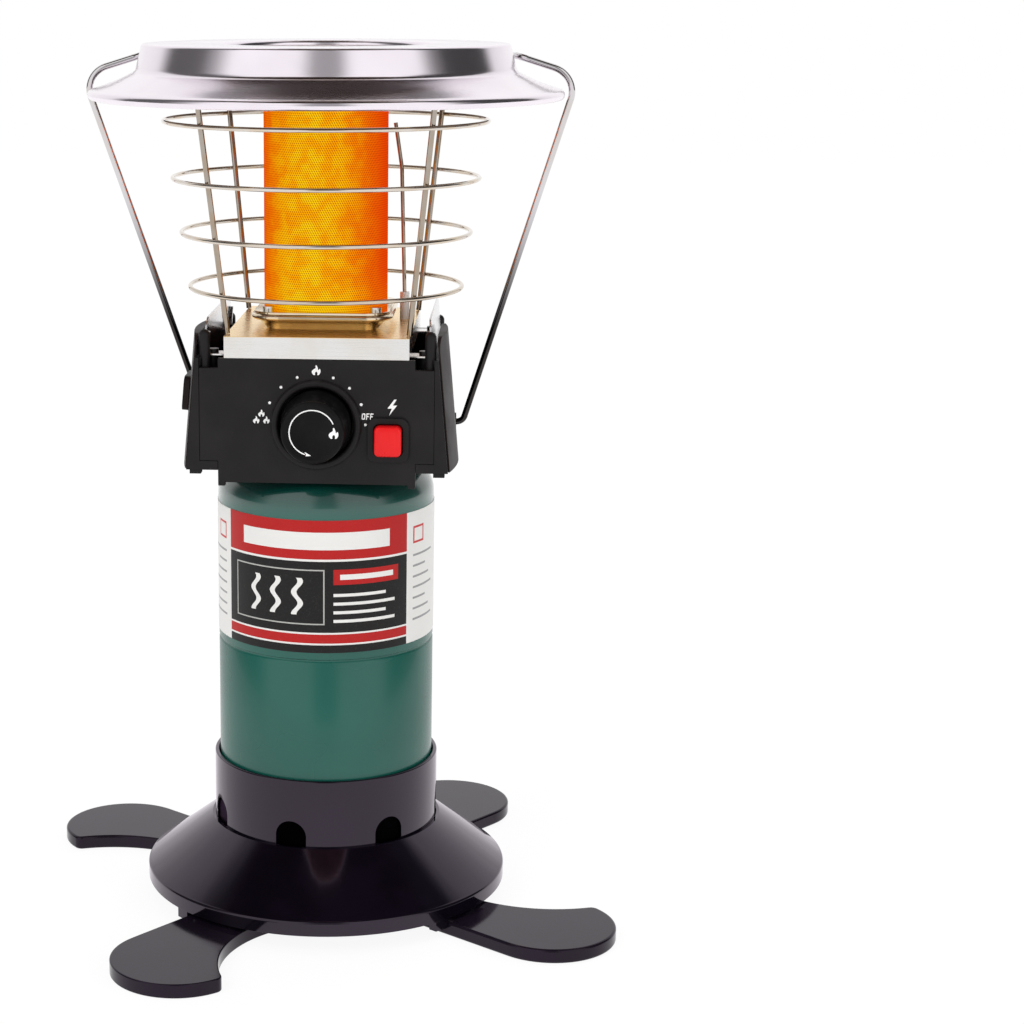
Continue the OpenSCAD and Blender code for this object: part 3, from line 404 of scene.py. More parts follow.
@dataclass(frozen=True)
class Spun(Finish):
    """Metal spun on a lathe, with fine rings about the upright axis."""

    PITCH = 0.55
    SHADE_SHARE, CLOUD_ROUGHNESS = 0.6, 0.03

    colour: Colour
    shade: Colour
    roughness: float

    def build(self) -> Material:
        """Makes the material."""
        g = MaterialGraph(self.name)
        sockets = {0: distance(g.x, g.y) / self.PITCH, 1: g.z / self.PITCH, 2: 0.0}
        track = g.node("CombineXYZ", sockets=sockets).outputs[0]
        rings = g.texture("TexNoise", "Fac", track, Scale=1.0, Detail=4.0)
        cloud = g.noise(size=26.0, detail=3.0)
        turned = rings.about(self.roughness, below=0.01, above=0.02)
        return g.surface(
            Base_Color=g.blend(cloud.ease(*HIGHER) * self.SHADE_SHARE, self.colour, self.shade),
            Roughness=turned + cloud * self.CLOUD_ROUGHNESS, Metallic=1.0,
            Normal=g.bump(rings, depth=0.0008),
        )


@dataclass(frozen=True)
class Wire(Finish):
    """Polished wire with a darker foot, and a warm tint between two heights by the glowing burner,
    which is partly heat tint and partly painted light from the glow.
    """

    RISE, FADE = 15.0, 20.0

    colour: Colour
    warm: Colour
    foot: Colour = (0.50, 0.42, 0.34)
    foot_low: float = 262.0
    foot_high: float = 330.0
    glow_low: float = 280.0
    glow_high: float = 375.0

    def build(self) -> Material:
        """Makes the material."""
        g = MaterialGraph(self.name)
        drawn = g.noise(size=0.7, detail=3.0, stretch=(1.0, 1.0, 8.0))
        # Warm tint beside the glowing burner: partly painted light from the glow, partly heat tint
        # in blotches
        heat = (g.z.ease(self.glow_low - self.RISE, self.glow_low + self.RISE)
                * g.z.ease(self.glow_high, self.glow_high + self.FADE, 1.0, 0.0))
        blotches = g.noise(size=9.0, detail=2.0).ease(*MOST, start=0.25, end=0.85)
        colour = g.blend(g.z.ease(self.foot_low, self.foot_high, 1.0, 0.0), self.colour, self.foot)
        return g.surface(
            Base_Color=g.blend(heat * blotches, colour, self.warm), Metallic=1.0,
            Roughness=drawn.ease(*HIGHER, start=0.06, end=0.12), Normal=g.bump(drawn, depth=0.002),
        )


@dataclass(frozen=True)
class GlowingMesh(Finish):
    """Knitted wire heated to a bright orange glow.

    The stitches are slanted rows that run round the tube, and the glow is painted brighter on two
    opposite sides and dimmer between them.
    """

    ROW, STITCH, RADIUS = 1.0, 1.05, 28.0
    THREAD_SHARE, VALLEY_SHARE = 0.65, 0.35
    # Painted light: how many bright sides the glow has, and the angle where it is brightest
    SIDES, BRIGHTEST = 2.0, -99.0
    FOOT = (280.7, 298.7, 1.0, 0.0)
    SIDE_SHARE, PATCH_SHARE, FOOT_SHARE = 0.66, 0.34, 0.14
    BRIGHT = (
        (0.0, (0.88, 0.060, 0.001)), (0.35, (0.95, 0.21, 0.001)), (0.7, (1.0, 0.44, 0.002)),
        (1.0, (1.0, 0.62, 0.006)),
    )
    DIM = ((0.0, (0.40, 0.020, 0.0)), (0.4, (0.42, 0.055, 0.0)), (1.0, (0.40, 0.13, 0.001)))

    def build(self) -> Material:
        """Makes the material."""
        g = MaterialGraph(self.name)
        angle = g.y.arctangent(g.x)
        across = angle * (round(FULL_TURN * self.RADIUS / self.STITCH) / FULL_TURN)
        row = g.z / self.ROW
        rows = row.fraction()
        thread = ((across + row.floor() * 0.5 + rows * 0.5) * FULL_TURN).sine().lifted()
        valley = (rows * FULL_TURN).sine().lifted()
        lit = (thread * self.THREAD_SHARE + valley * self.VALLEY_SHARE).ease(low=0.12, high=0.55)
        # Painted light: the glow is made brighter on two opposite sides and dimmer between them
        side = ((angle - math.radians(self.BRIGHTEST)) * self.SIDES).cosine().lifted()
        patch = g.noise(size=7.0, detail=3.0).ease(low=0.36, high=0.64)
        foot = g.z.ease(*self.FOOT) * self.FOOT_SHARE
        warmth = (side * self.SIDE_SHARE + side * patch * self.PATCH_SHARE + foot).smaller(1.0)
        return g.surface(
            Base_Color=(0.012, 0.004, 0.001), Roughness=0.8, Specular_IOR_Level=0.0,
            Emission_Strength=1.0, Normal=g.bump(lit, depth=0.1),
            Emission_Color=g.blend(lit, g.ramp(warmth, self.DIM), g.ramp(warmth, self.BRIGHT)),
        )


RED, BRIGHT_RED = (0.43, 0.007, 0.007), (0.55, 0.03, 0.03)
DARK, PALE = (0.006, 0.005, 0.005), (0.76, 0.75, 0.73)
FRAME, GREY = (0.42, 0.42, 0.40), (0.30, 0.30, 0.30)
Bar = tuple[float, float, float, float, Colour]


@dataclass(frozen=True)
class LabelPrint(Finish):
    """A printed wrap-round label: plain marks on red and dark, between pale side fields.

    A bar is its near and far edge, its foot, its head and its ink, and bars are painted in order.
    """

    RADIUS = 50.2
    LOW = 129.9
    TURN = -1.5
    FIELD = 46.5
    FRONT: tuple[Bar, ...] = (
        (-FIELD, FIELD, 9.4, 42.2, DARK),
        (-36.0, 36.0, 47.5, 55.5, PALE),
        (-FIELD, FIELD, 42.2, 43.2, PALE),
        (-FIELD, FIELD, 8.6, 9.4, PALE),
        (-41.0, 5.0, 13.0, 38.5, FRAME),
        (-40.4, 4.4, 13.6, 37.9, DARK),
        (9.0, 41.0, 31.5, 38.5, RED),
        (12.0, 38.0, 33.8, 36.2, PALE),
        (-FIELD, FIELD, 0.0, 3.6, DARK),
        (-FIELD, FIELD, 3.6, 4.4, PALE),
        *((9.0, 39.0 - 5.0 * (k % 2), 14.0 + 4.0 * k, 15.4 + 4.0 * k, PALE) for k in range(4)),
    )
    # These are on both sides of the label's middle, and the last ones meet at the back
    SIDES: tuple[Bar, ...] = (
        *((51.0, 70.0 - 4.0 * (k % 3), 10.0 + 5.0 * k, 11.0 + 5.0 * k, GREY) for k in range(7)),
        (51.0, 60.0, 46.0, 54.0, BRIGHT_RED),
        (52.0, 59.0, 47.0, 53.0, PALE),
        (84.0, 132.0, 46.5, 54.5, RED),
        (88.0, 128.0, 49.7, 51.3, PALE),
        *((84.0, 132.0 - 7.0 * (k % 2), 12.0 + 3.8 * k, 12.9 + 3.8 * k, GREY) for k in range(8)),
        (140.0, 170.0, 10.0, 54.5, DARK),
        (141.0, 170.0, 11.0, 53.5, PALE),
        *((143.0 + 1.6 * k, 143.8 + 1.6 * k, 14.0, 30.0, DARK) for k in range(9)),
    )
    # Three upright waves: how often they swing, how far, half their width and their heights
    WAVES_AT = (-28.5, -18.0, -7.5)
    WAVE_RATE, WAVE_SWING, WAVE_HALF = 0.62, 1.5, 1.3
    WAVE_HEIGHTS = (17.5, 34.5)
    SPECK, SPECK_SHARE = (0.30, 0.28, 0.27), 0.08

    def stamp(self, g: MaterialGraph, colour: object, across: Value, up: Value,
              bars: Sequence[Bar]) -> object:
        """Paints bars over a colour, from distances round the tank and up the label."""
        for near, far, foot, head, ink in bars:
            colour = g.blend(across.within(near, far) * up.within(foot, head), colour, ink)
        return colour

    def build(self) -> Material:
        """Makes the material."""
        g = MaterialGraph(self.name)
        along = (bearing(g.x, g.y) - self.TURN) * (self.RADIUS / TO_DEGREES)
        up = g.z - self.LOW
        colour = g.blend(abs(along) < self.FIELD, PALE, RED)
        colour = self.stamp(g, colour, along, up, self.FRONT)
        swing = (up * self.WAVE_RATE).sine() * self.WAVE_SWING
        for middle in self.WAVES_AT:
            near = abs(along - middle - swing) < self.WAVE_HALF
            colour = g.blend(near * up.within(*self.WAVE_HEIGHTS), colour, PALE)
        colour = self.stamp(g, colour, abs(along), up, self.SIDES)
        speck = g.noise(size=0.6, detail=2.0)
        specks = speck.ease(low=0.5, high=0.9) * self.SPECK_SHARE
        return g.surface(
            Base_Color=g.blend(specks, colour, self.SPECK), Specular_IOR_Level=0.28,
            Roughness=speck.ease(*MOST, start=0.36, end=0.42),
            Normal=g.bump(g.noise(size=7.0, detail=2.0), depth=0.02),
        )


class Palette:
    """Builds each finish once and hands it out by name."""

    FINISHES: tuple[Finish, ...] = (
        Gloss("stand_gloss", "stand_plastic", (0.0022, 0.0016, 0.0034), (0.0042, 0.0028, 0.0066),
              0.08, 0.45, 0.25),
        Gloss("leg_gloss", "stand_plastic", (0.0065, 0.0042, 0.0085), (0.0095, 0.0060, 0.0125),
              0.12, 0.28, 0.0),
        Enamel("tank_green", "tank_paint", (0.0050, 0.094, 0.071), (0.0035, 0.062, 0.047),
               (0.001, 0.022, 0.018)),
        LabelPrint("tank_label_print", "label_print"),
        Sheet("turned_brass", "brass", (0.72, 0.55, 0.26), (0.55, 0.38, 0.16), 0.28,
              along=(1.0, 1.0, 20.0)),
        Moulded("housing_black", "housing_plastic", (0.0052, 0.0040, 0.0042), 0.50, 0.4, gleam=0.3),
        # Painted reflection: the side covers are the housing's black plastic tinted brown for the
        # light they mirror from the right
        Moulded("cover_black_painted_reflection", "housing_plastic", (0.0125, 0.0064, 0.0066), 0.44, 0.4, lift=0.0,
                gleam=0.17),
        Moulded("knob_black", "knob_plastic", (0.0034, 0.0032, 0.0036), 0.38, 0.5, 0.004,
                gleam=0.12),
        Moulded("button_gloss", "button_red", (0.72, 0.006, 0.008), 0.28, 0.8, 0.002, 0.12, 0.04,
                0.25),
        Moulded("print_white", "housing_plastic", (0.86, 0.86, 0.85), 0.45, 0.3, 0.002, lift=0.03),
        Sheet("cast_grey", "cast_alloy", (0.45, 0.45, 0.44), (0.34, 0.34, 0.33), 0.5,
              (1.0, 1.0, 1.0), 1.2, 0.03),
        Moulded("ivory_moulding", "ivory_plastic", (0.72, 0.68, 0.56), 0.4),
        Moulded("lead_sheath", "lead_rubber", (0.02, 0.02, 0.02), 0.5, 0.3, 0.01),
        Sheet("tray_bright", "tray_steel", (0.86, 0.85, 0.84), (0.72, 0.62, 0.46), 0.26,
              grain=0.8, depth=0.001, tint_share=0.25, lit_from=272.5),
        Sheet("shield_bright", "tray_steel", (0.82, 0.81, 0.83), (0.70, 0.64, 0.58), 0.2,
              along=(1.0, 1.0, 25.0)),
        Sheet("pan_polished", "pan_steel", (0.84, 0.72, 0.54), (0.62, 0.44, 0.26), 0.10,
              (8.0, 8.0, 1.0), 0.9, 0.002, 0.6),
        Sheet("plated_bright", "screw_steel", (0.74, 0.73, 0.72), (0.60, 0.52, 0.42), 0.16,
              along=(1.0, 1.0, 6.0)),
        Sheet("black_oxide", "black_screw", (0.03, 0.03, 0.03), (0.06, 0.05, 0.05), 0.35),
        Sheet("pin_bright", "pin_steel", (0.66, 0.66, 0.68), (0.50, 0.50, 0.50), 0.3),
        GlowingMesh("burner_glow", "mesh_glow"),
        Wire("electrode_tinted", "electrode_wire", (0.42, 0.36, 0.30), (0.26, 0.16, 0.10)),
        Moulded("ceramic_glaze", "ceramic", (0.80, 0.78, 0.74), 0.25, 0.8, 0.004, 0.3, 0.05),
        Wire("guard_wire", "guard_steel", (0.74, 0.71, 0.68), (0.70, 0.58, 0.44)),
        # Painted reflection: the rods are the guard's steel made darker for the dark reflections
        # along them
        Wire("rod_wire_dark_reflection", "guard_steel", (0.44, 0.41, 0.38), (0.40, 0.31, 0.22), (0.40, 0.34, 0.28)),
        Spun("hood_spun", "hood_aluminium", (0.95, 0.88, 0.945), (0.87, 0.80, 0.865), 0.15),
        Sheet("hood_inside", "hood_aluminium", (0.26, 0.21, 0.18), (0.14, 0.10, 0.08), 0.42,
              tint_share=0.6),
        Wire("bail_wire", "bail_steel", (0.70, 0.68, 0.70), (0.66, 0.62, 0.60),
             (0.045, 0.040, 0.040), 265.0, 335.0, 340.0),
    )

    def __init__(self) -> None:
        """Starts with nothing built."""
        self.known = {finish.name: finish for finish in self.FINISHES}
        self.built: dict[str, Material] = {}

    def material(self, name: str) -> Material:
        """The material of a finish, built the first time it is asked for."""
        if name not in self.built:
            self.built[name] = self.known[name].build()
        return self.built[name]

    def slot(self, name: str) -> str:
        """The record's slot of a finish."""
        return self.known[name].slot


# ---------- workshop ----------


def add_object(name: str, data: bpy.types.ID) -> bpy.types.Object:
    """Puts a new object into the scene."""
    thing = bpy.data.objects.new(name, data)
    bpy.context.scene.collection.objects.link(thing)
    return thing


@dataclass(frozen=True)
class Edge:
    """How a finished copy's edges are rounded: width, steps and least angle."""

    width: float
    steps: int
    angle: float = 35.0


class Workshop:
    """Makes pieces, gives them a finish and sets them on their bodies."""

    # Points nearer than these are one: in the CAD's meshes, and in shapes made here
    CAD_WELD, WELD = 0.002, 0.001
    FLAT = 0.6
    SHADING_WEIGHT = 90

    def __init__(self, palette: Palette) -> None:
        """Keeps the palette of finishes to dress pieces with."""
        self.palette = palette

    def dress_node(self, finish: str, *nodes: str) -> None:
        """Gives CAD nodes a finish."""
        for name in nodes:
            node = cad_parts[name]
            node.data.materials.clear()
            node.data.materials.append(self.palette.material(finish))
            LOG.info("dressed %s with %s", name, finish)

    def settle(self, name: str, bm: Shape, body: Body, finish: str, *replaced: str,
               crease: float = 35.0) -> bpy.types.Object:
        """Turns a bmesh in metres into a finished piece.

        Args:
            name: the piece's name.
            bm: the shape, which is freed.
            body: what it rides on.
            finish: the finish's name.
            replaced: CAD nodes that it stands for.
            crease: the angle from which an edge stays sharp.
        """
        mesh = bpy.data.meshes.new(name)
        bm.to_mesh(mesh)
        bm.free()
        mesh.shade_smooth()
        mesh.set_sharp_from_angle(angle=math.radians(crease))
        piece = add_object(name, mesh)
        mesh.materials.append(self.palette.material(finish))
        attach(piece, body.value)
        self.palette.slot(finish)
        if replaced:
            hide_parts(*replaced)
        LOG.info("made %s on %s", name, body.value)
        return piece

    def node_shape(self, node: str) -> Shape:
        """A CAD node's mesh with its double points joined."""
        bm = bmesh.new()
        bm.from_mesh(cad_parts[node].data)
        bmesh.ops.remove_doubles(bm, verts=bm.verts, dist=self.CAD_WELD * MM)
        return bm

    def finished_copy(self, node: str, body: Body, finish: str, edge: Edge) -> None:
        """Puts a copy with rounded edges in a CAD node's place."""
        bm = self.node_shape(node)
        bmesh.ops.dissolve_limit(
            bm, angle_limit=math.radians(self.FLAT), verts=bm.verts, edges=bm.edges)
        piece = self.settle(f"{node}_finished", bm, body, finish, node)
        bevel = piece.modifiers.new("rounded_edges", "BEVEL")
        bevel.width = edge.width * MM
        bevel.segments = edge.steps
        bevel.limit_method = "ANGLE"
        bevel.angle_limit = math.radians(edge.angle)
        smooth = piece.modifiers.new("even_shading", "WEIGHTED_NORMAL")
        smooth.keep_sharp = True
        smooth.weight = self.SHADING_WEIGHT

    def lathe(self, profile: Sequence[Spot], steps: int) -> Shape:
        """Spins a profile of radii and heights into a shape in metres with so many facets."""
        bm = bmesh.new()
        points = [bm.verts.new((r * MM, 0.0, z * MM)) for r, z in profile]
        edges = [bm.edges.new(pair) for pair in zip(points, points[1:])]
        bmesh.ops.spin(
            bm, geom=points + edges, axis=(0, 0, 1), cent=(0, 0, 0), angle=FULL_TURN, steps=steps,
            use_merge=True)
        bmesh.ops.remove_doubles(bm, verts=bm.verts, dist=self.WELD * MM)
        bmesh.ops.recalc_face_normals(bm, faces=bm.faces)
        return bm

    def move(self, bm: Shape, matrix: Matrix) -> Shape:
        """Moves a whole shape by a matrix."""
        bmesh.ops.transform(bm, matrix=matrix, verts=bm.verts)
        return bm

    def flat_outline(self, loops: Sequence[Sequence[Spot]], thickness: float,
                     round_off: bool = False) -> Shape:
        """Fills outlines in the XY plane, where one inside another is a hole, to a shape in metres.

        Args:
            loops: the outlines.
            thickness: how far the shape reaches to each side of its plane.
            round_off: whether the outlines run smoothly through their points.
        """
        curve = bpy.data.curves.new("outline", "CURVE")
        curve.dimensions = "2D"
        curve.fill_mode = "BOTH"
        curve.extrude = thickness * MM
        for loop in loops:
            spline = curve.splines.new("BEZIER")
            spline.bezier_points.add(len(loop) - 1)
            for point, (x, y) in zip(spline.bezier_points, loop):
                point.co = (x * MM, y * MM, 0.0)
                point.handle_left_type = point.handle_right_type = "AUTO" if round_off else "VECTOR"
            spline.use_cyclic_u = True
        carrier = add_object("carrier", curve)
        bpy.context.view_layer.update()
        mesh = bpy.data.meshes.new_from_object(carrier)
        bm = bmesh.new()
        bm.from_mesh(mesh)
        bmesh.ops.remove_doubles(bm, verts=bm.verts, dist=self.WELD * MM)
        bpy.data.objects.remove(carrier)
        bpy.data.meshes.remove(mesh)
        return bm


def arc(centre: Spot, radius: float, start: float, end: float, steps: int) -> list[Spot]:
    """Points along a circle's arc between two angles, which cut it into so many steps."""
    turn = [math.radians(start + (end - start) * i / steps) for i in range(steps + 1)]
    return [(centre[0] + radius * math.cos(a), centre[1] + radius * math.sin(a)) for a in turn]


def on_front(x: float, z: float, face: float) -> Matrix:
    """A matrix that stands a flat drawing in metres up on a face that looks to the front."""
    stand_up = Matrix.Rotation(math.radians(90), 4, "X")
    return Matrix.Translation((x * MM, face * MM, z * MM)) @ stand_up


# ---------- sub-assemblies ----------


@dataclass
class Assembly:
    """Pieces that need rounded edges, and CAD nodes that need no more than a finish."""

    COPIES = ()
    DRESSED = {}

    shop: Workshop

    def build(self) -> None:
        """Makes the copies and dresses the nodes."""
        for body, finish, edge, *nodes in self.COPIES:
            for node in nodes:
                self.shop.finished_copy(node, body, finish, edge)
        for finish, nodes in self.DRESSED.items():
            self.shop.dress_node(finish, *nodes)


class Stand(Assembly):
    """The stand: skirt, collar, pins and the four swing-out legs."""

    COPIES = (
        (Body.STAND, "stand_gloss", Edge(0.5, 3), "stand_skirt", "stand_collar"),
        *((leg, "leg_gloss", Edge(1.1, 4, 30.0), leg.value) for leg in LEGS),
    )
    DRESSED = {"pin_bright": ("leg_pins",)}


@dataclass
class GasTank(Assembly):
    """The gas tank with its weld seam, label and threaded neck."""

    DRESSED = {"tank_label_print": ("tank_label",), "turned_brass": ("tank_valve",)}

    radius: float = 50.0
    base: float = 24.0
    seam: float = 126.0
    top: float = 213.0
    steps: int = 160

    def body_profile(self) -> list[Spot]:
        """The tank's outside from the middle of its base to its neck."""
        b, r, t = self.base, self.radius, self.top
        return (
            [(0.0, b + 7.0), (23.0, b + 5.0)]
            + arc((32.0, b + 3.0), 3.0, 200, 270, 6)
            + arc((r - 16.0, b + 16.0), 16.0, -90, 0, 12)
            + [(r, self.seam - 1.3), (r - 0.2, self.seam - 0.9), (r - 0.6, self.seam - 0.5),
               (r - 0.6, self.seam + 0.2), (r - 0.1, self.seam + 0.6), (r, self.seam + 1.2)]
            + arc((r - 14.0, t - 18.0), 14.0, 0, 78, 12)
            + [(17.7, t - 0.8), (14.7, t), (10.2, t), (10.2, t - 3.0), (0.0, t - 3.0)]
        )

    def build(self) -> None:
        """Makes the tank's pieces."""
        body = self.shop.lathe(self.body_profile(), self.steps)
        self.shop.settle("tank_body_spun", body, Body.TANK, "tank_green", "tank_body")
        super().build()


class Housing(Assembly):
    """The black housing: shell, front panel, bottom plate, covers and the parts inside."""

    COPIES = (
        (Body.HEAD, "housing_black", Edge(0.5, 2), "housing_shell", "front_panel", "bottom_plate"),
        # The side covers carry painted reflection: a brown tint on the black plastic
        (Body.HEAD, "cover_black_painted_reflection", Edge(0.6, 3), "side_cover_right", "side_cover_left"),
    )
    DRESSED = {
        "housing_black": ("bail_bushing_right", "bail_bushing_left"),
        "cast_grey": ("regulator_body", "mixing_tube"),
        "turned_brass": ("inlet_socket", "gas_jet", "valve_stem"),
        "ivory_moulding": ("piezo_igniter",),
        "lead_sheath": ("igniter_lead",),
    }


@dataclass
class Controls(Assembly):
    """The knob, the igniter button, their bezels and the printed marks."""

    COPIES = (
        (Body.HEAD, "housing_black", Edge(0.35, 3), "knob_bezel"),
        (Body.HEAD, "housing_black", Edge(0.5, 3), "button_bezel"),
    )
    # The knob's outside from its bore to the middle of its dished face, as radius and height
    KNOB_PROFILE = (
        [(3.0, 14.0), (3.0, -7.0), (14.8, -7.0), (15.4, -6.4), (15.4, 2.0), (15.1, 3.4),
         (14.6, 4.6), (13.9, 16.6)]
        + arc((12.3, 18.4), 1.55, 8, 90, 8)
        + [(11.9, 19.96), (11.6, 19.86), (11.4, 19.66), (11.2, 19.6), (0.0, 19.6)]
    )
    # The cap's crown rises in rings: each ring's share of the one before it, and its rise
    CROWN = ((0.72, 0.08), (0.62, 0.05), (0.5, 0.03))
    # How far up a straight face's normal points at least
    STRAIGHT = 0.99
    DOT_ANGLES = (0.0, 24.0, 47.0, 69.0, 111.0, 133.0, 155.5)
    # Flames on the panel: name, height, and place from the knob's middle
    PANEL_FLAMES = (
        ("dial_flame_low", 4.4, 0.0, 24.2), ("dial_flame_high_0", 3.2, -24.2, 4.8),
        ("dial_flame_high_1", 3.2, -26.5, 1.8), ("dial_flame_high_2", 3.2, -22.0, 1.8),
    )
    FLAME = (
        (-0.13, -0.48), (-0.11, -0.30), (0.02, -0.14), (0.14, -0.30), (0.15, -0.48),
        (0.36, -0.36), (0.44, -0.08), (0.34, 0.14), (0.24, 0.02), (0.16, 0.26), (-0.02, 0.5),
        (-0.06, 0.24), (-0.24, 0.10), (-0.42, -0.10), (-0.36, -0.36),
    )
    BOLT = (
        (0.9, 3.5), (-2.1, -0.5), (-0.2, -0.5), (-1.4, -3.7), (2.1, 0.9), (0.3, 0.9), (1.9, 3.5),
    )
    ARROW_TIP = ((0.0, 0.0), (-2.9, 1.6), (-2.2, 0.35), (-2.4, -0.3))
    LETTER_O = (
        (0.45, 0.0), (1.3, 0.0), (1.75, 0.45), (1.75, 2.25), (1.3, 2.7), (0.45, 2.7), (0.0, 2.25),
        (0.0, 0.45),
    )
    LETTER_O_EYE = (
        (0.65, 0.5), (1.1, 0.5), (1.25, 0.65), (1.25, 2.05), (1.1, 2.2), (0.65, 2.2), (0.5, 2.05),
        (0.5, 0.65),
    )
    LETTER_F = (
        (0.0, 0.0), (0.5, 0.0), (0.5, 1.1), (1.25, 1.1), (1.25, 1.55), (0.5, 1.55), (0.5, 2.22),
        (1.45, 2.22), (1.45, 2.7), (0.0, 2.7),
    )
    # The word's outlines with their places, and its slant, width and height
    WORD = ((LETTER_O, 0.0), (LETTER_O_EYE, 0.0), (LETTER_F, 2.2), (LETTER_F, 4.1))
    WORD_SLANT, WORD_WIDTH, WORD_HEIGHT = 0.12, 0.9, 1.05

    face: float = -50.0
    knob_z: float = 234.1
    knob_out: float = 19.6
    knob_steps: int = 96
    button_x: float = 31.7
    button_z: float = 227.8
    cap_w: float = 12.0
    cap_h: float = 13.3
    cap_out: float = 5.8
    cap_in: float = 7.0
    cap_corner: float = 2.2
    cap_round: float = 1.0
    stem_r: float = 3.0
    stem_end: float = 17.0
    stem_overlap: float = 0.5
    travel: float = 4.0
    ink: float = 0.06
    dot_r: float = 0.62
    dial_r: float = 22.1
    dial_shift: Spot = (-0.4, 0.3)
    word_at: Spot = (19.9, 2.6)
    bolt_at: Spot = (1.7, 14.5)
    arrow_r: float = 9.7
    arrow_w: float = 0.5
    arrow_start: float = 24.0
    arrow_sweep: float = 228.0
    tip_shift: Spot = (-0.4, -0.3)
    tip_turn: float = -2.0
    pointer_h: float = 4.8
    pointer_at: float = 9.3

    def build(self) -> None:
        """Makes the controls' pieces."""
        super().build()
        knob = self.shop.lathe(self.KNOB_PROFILE, self.knob_steps)
        self.shop.move(knob, on_front(0.0, self.knob_z, self.face))
        self.shop.settle("knob_turned", knob, Body.KNOB, "knob_black", "knob", crease=40.0)
        self.build_button()
        self.build_spring()
        self.build_dial_marks()
        self.build_knob_marks()

    def build_button(self) -> None:
        """Shapes the button: a cap with rounded corners and a soft crown, on a stem."""
        bm = bmesh.new()
        bmesh.ops.create_cube(bm, size=1.0)
        block = Matrix.Translation((0, 0, (self.cap_out - self.cap_in) / 2 * MM)) @ Matrix.Diagonal(
            (self.cap_w * MM, self.cap_h * MM, (self.cap_out + self.cap_in) * MM, 1.0))
        self.shop.move(bm, block)
        corners = [e for e in bm.edges
                   if abs((e.verts[0].co - e.verts[1].co).z) > self.cap_out * MM]
        self.round_edges(bm, corners, self.cap_corner, steps=6)
        rim = list({e for f in self.front_faces(bm) for e in f.edges})
        self.round_edges(bm, rim, self.cap_round, steps=4)
        front = self.front_faces(bm)
        for share, rise in self.CROWN:
            bmesh.ops.inset_region(bm, faces=front, thickness=0.0, depth=0.0)
            crown = list({v for f in front for v in f.verts})
            bmesh.ops.scale(bm, vec=(share, share, 1.0), verts=crown)
            bmesh.ops.translate(bm, vec=(0, 0, rise * MM), verts=crown)
        stem_top = self.cap_in - self.stem_overlap
        middle = Matrix.Translation((0, 0, -(self.stem_end + stem_top) / 2 * MM))
        bmesh.ops.create_cone(
            bm, cap_ends=True, segments=32, radius1=self.stem_r * MM, radius2=self.stem_r * MM,
            depth=(self.stem_end - stem_top) * MM, matrix=middle)
        self.shop.move(bm, on_front(self.button_x, self.button_z, self.face))
        self.shop.settle("button_cap", bm, Body.BUTTON, "button_gloss", "igniter_button")

    def front_faces(self, bm: Shape) -> list[bmesh.types.BMFace]:
        """The faces that look straight up, which is ahead once the shape stands on the front."""
        return [f for f in bm.faces if f.normal.z > self.STRAIGHT]

    def round_edges(self, bm: Shape, edges: list, width: float, steps: int) -> None:
        """Rounds edges of a shape."""
        bmesh.ops.bevel(
            bm, geom=edges, offset=width * MM, affect="EDGES", segments=steps, profile=0.5,
            material=-1)

    def build_spring(self) -> None:
        """Makes the button's spring, which the button presses together."""
        bm = self.shop.node_shape("button_spring")
        coil = self.shop.settle("button_coil", bm, Body.HEAD, "pin_bright", "button_spring")
        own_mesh(coil)

    def flame(self, height: float) -> Shape:
        """A small flame mark."""
        loop = [(x * height, y * height) for x, y in self.FLAME]
        return self.shop.flat_outline([loop], self.ink, round_off=True)

    def mark(self, name: str, bm: Shape, x: float, z: float, body: Body = Body.HEAD,
             out: float = 0.0) -> None:
        """Sets a flat mark right of and above the knob's middle, and out of the panel."""
        bm = self.shop.move(bm, on_front(x, self.knob_z + z, self.face - out))
        self.shop.settle(name, bm, body, "print_white")

    def build_dial_marks(self) -> None:
        """Prints the dots, the flames, the word and the bolt on the panel."""
        for k, angle in enumerate(self.DOT_ANGLES):
            dot = bmesh.new()
            bmesh.ops.create_cone(dot, cap_ends=True, segments=20, radius1=self.dot_r * MM,
                                  radius2=self.dot_r * MM, depth=2 * self.ink * MM)
            self.mark(f"dial_dot_{k}", dot, *arc(self.dial_shift, self.dial_r, angle, angle, 1)[0])
        for name, height, x, z in self.PANEL_FLAMES:
            self.mark(name, self.flame(height), x, z)
        word = [[((x + place + self.WORD_SLANT * y) * self.WORD_WIDTH, y * self.WORD_HEIGHT)
                 for x, y in loop] for loop, place in self.WORD]
        self.mark("dial_off", self.shop.flat_outline(word, self.ink), *self.word_at)
        bolt = self.shop.flat_outline([self.BOLT], self.ink)
        x, z = self.button_x + self.bolt_at[0], self.button_z + self.bolt_at[1]
        self.mark("igniter_bolt", bolt, x, z - self.knob_z)

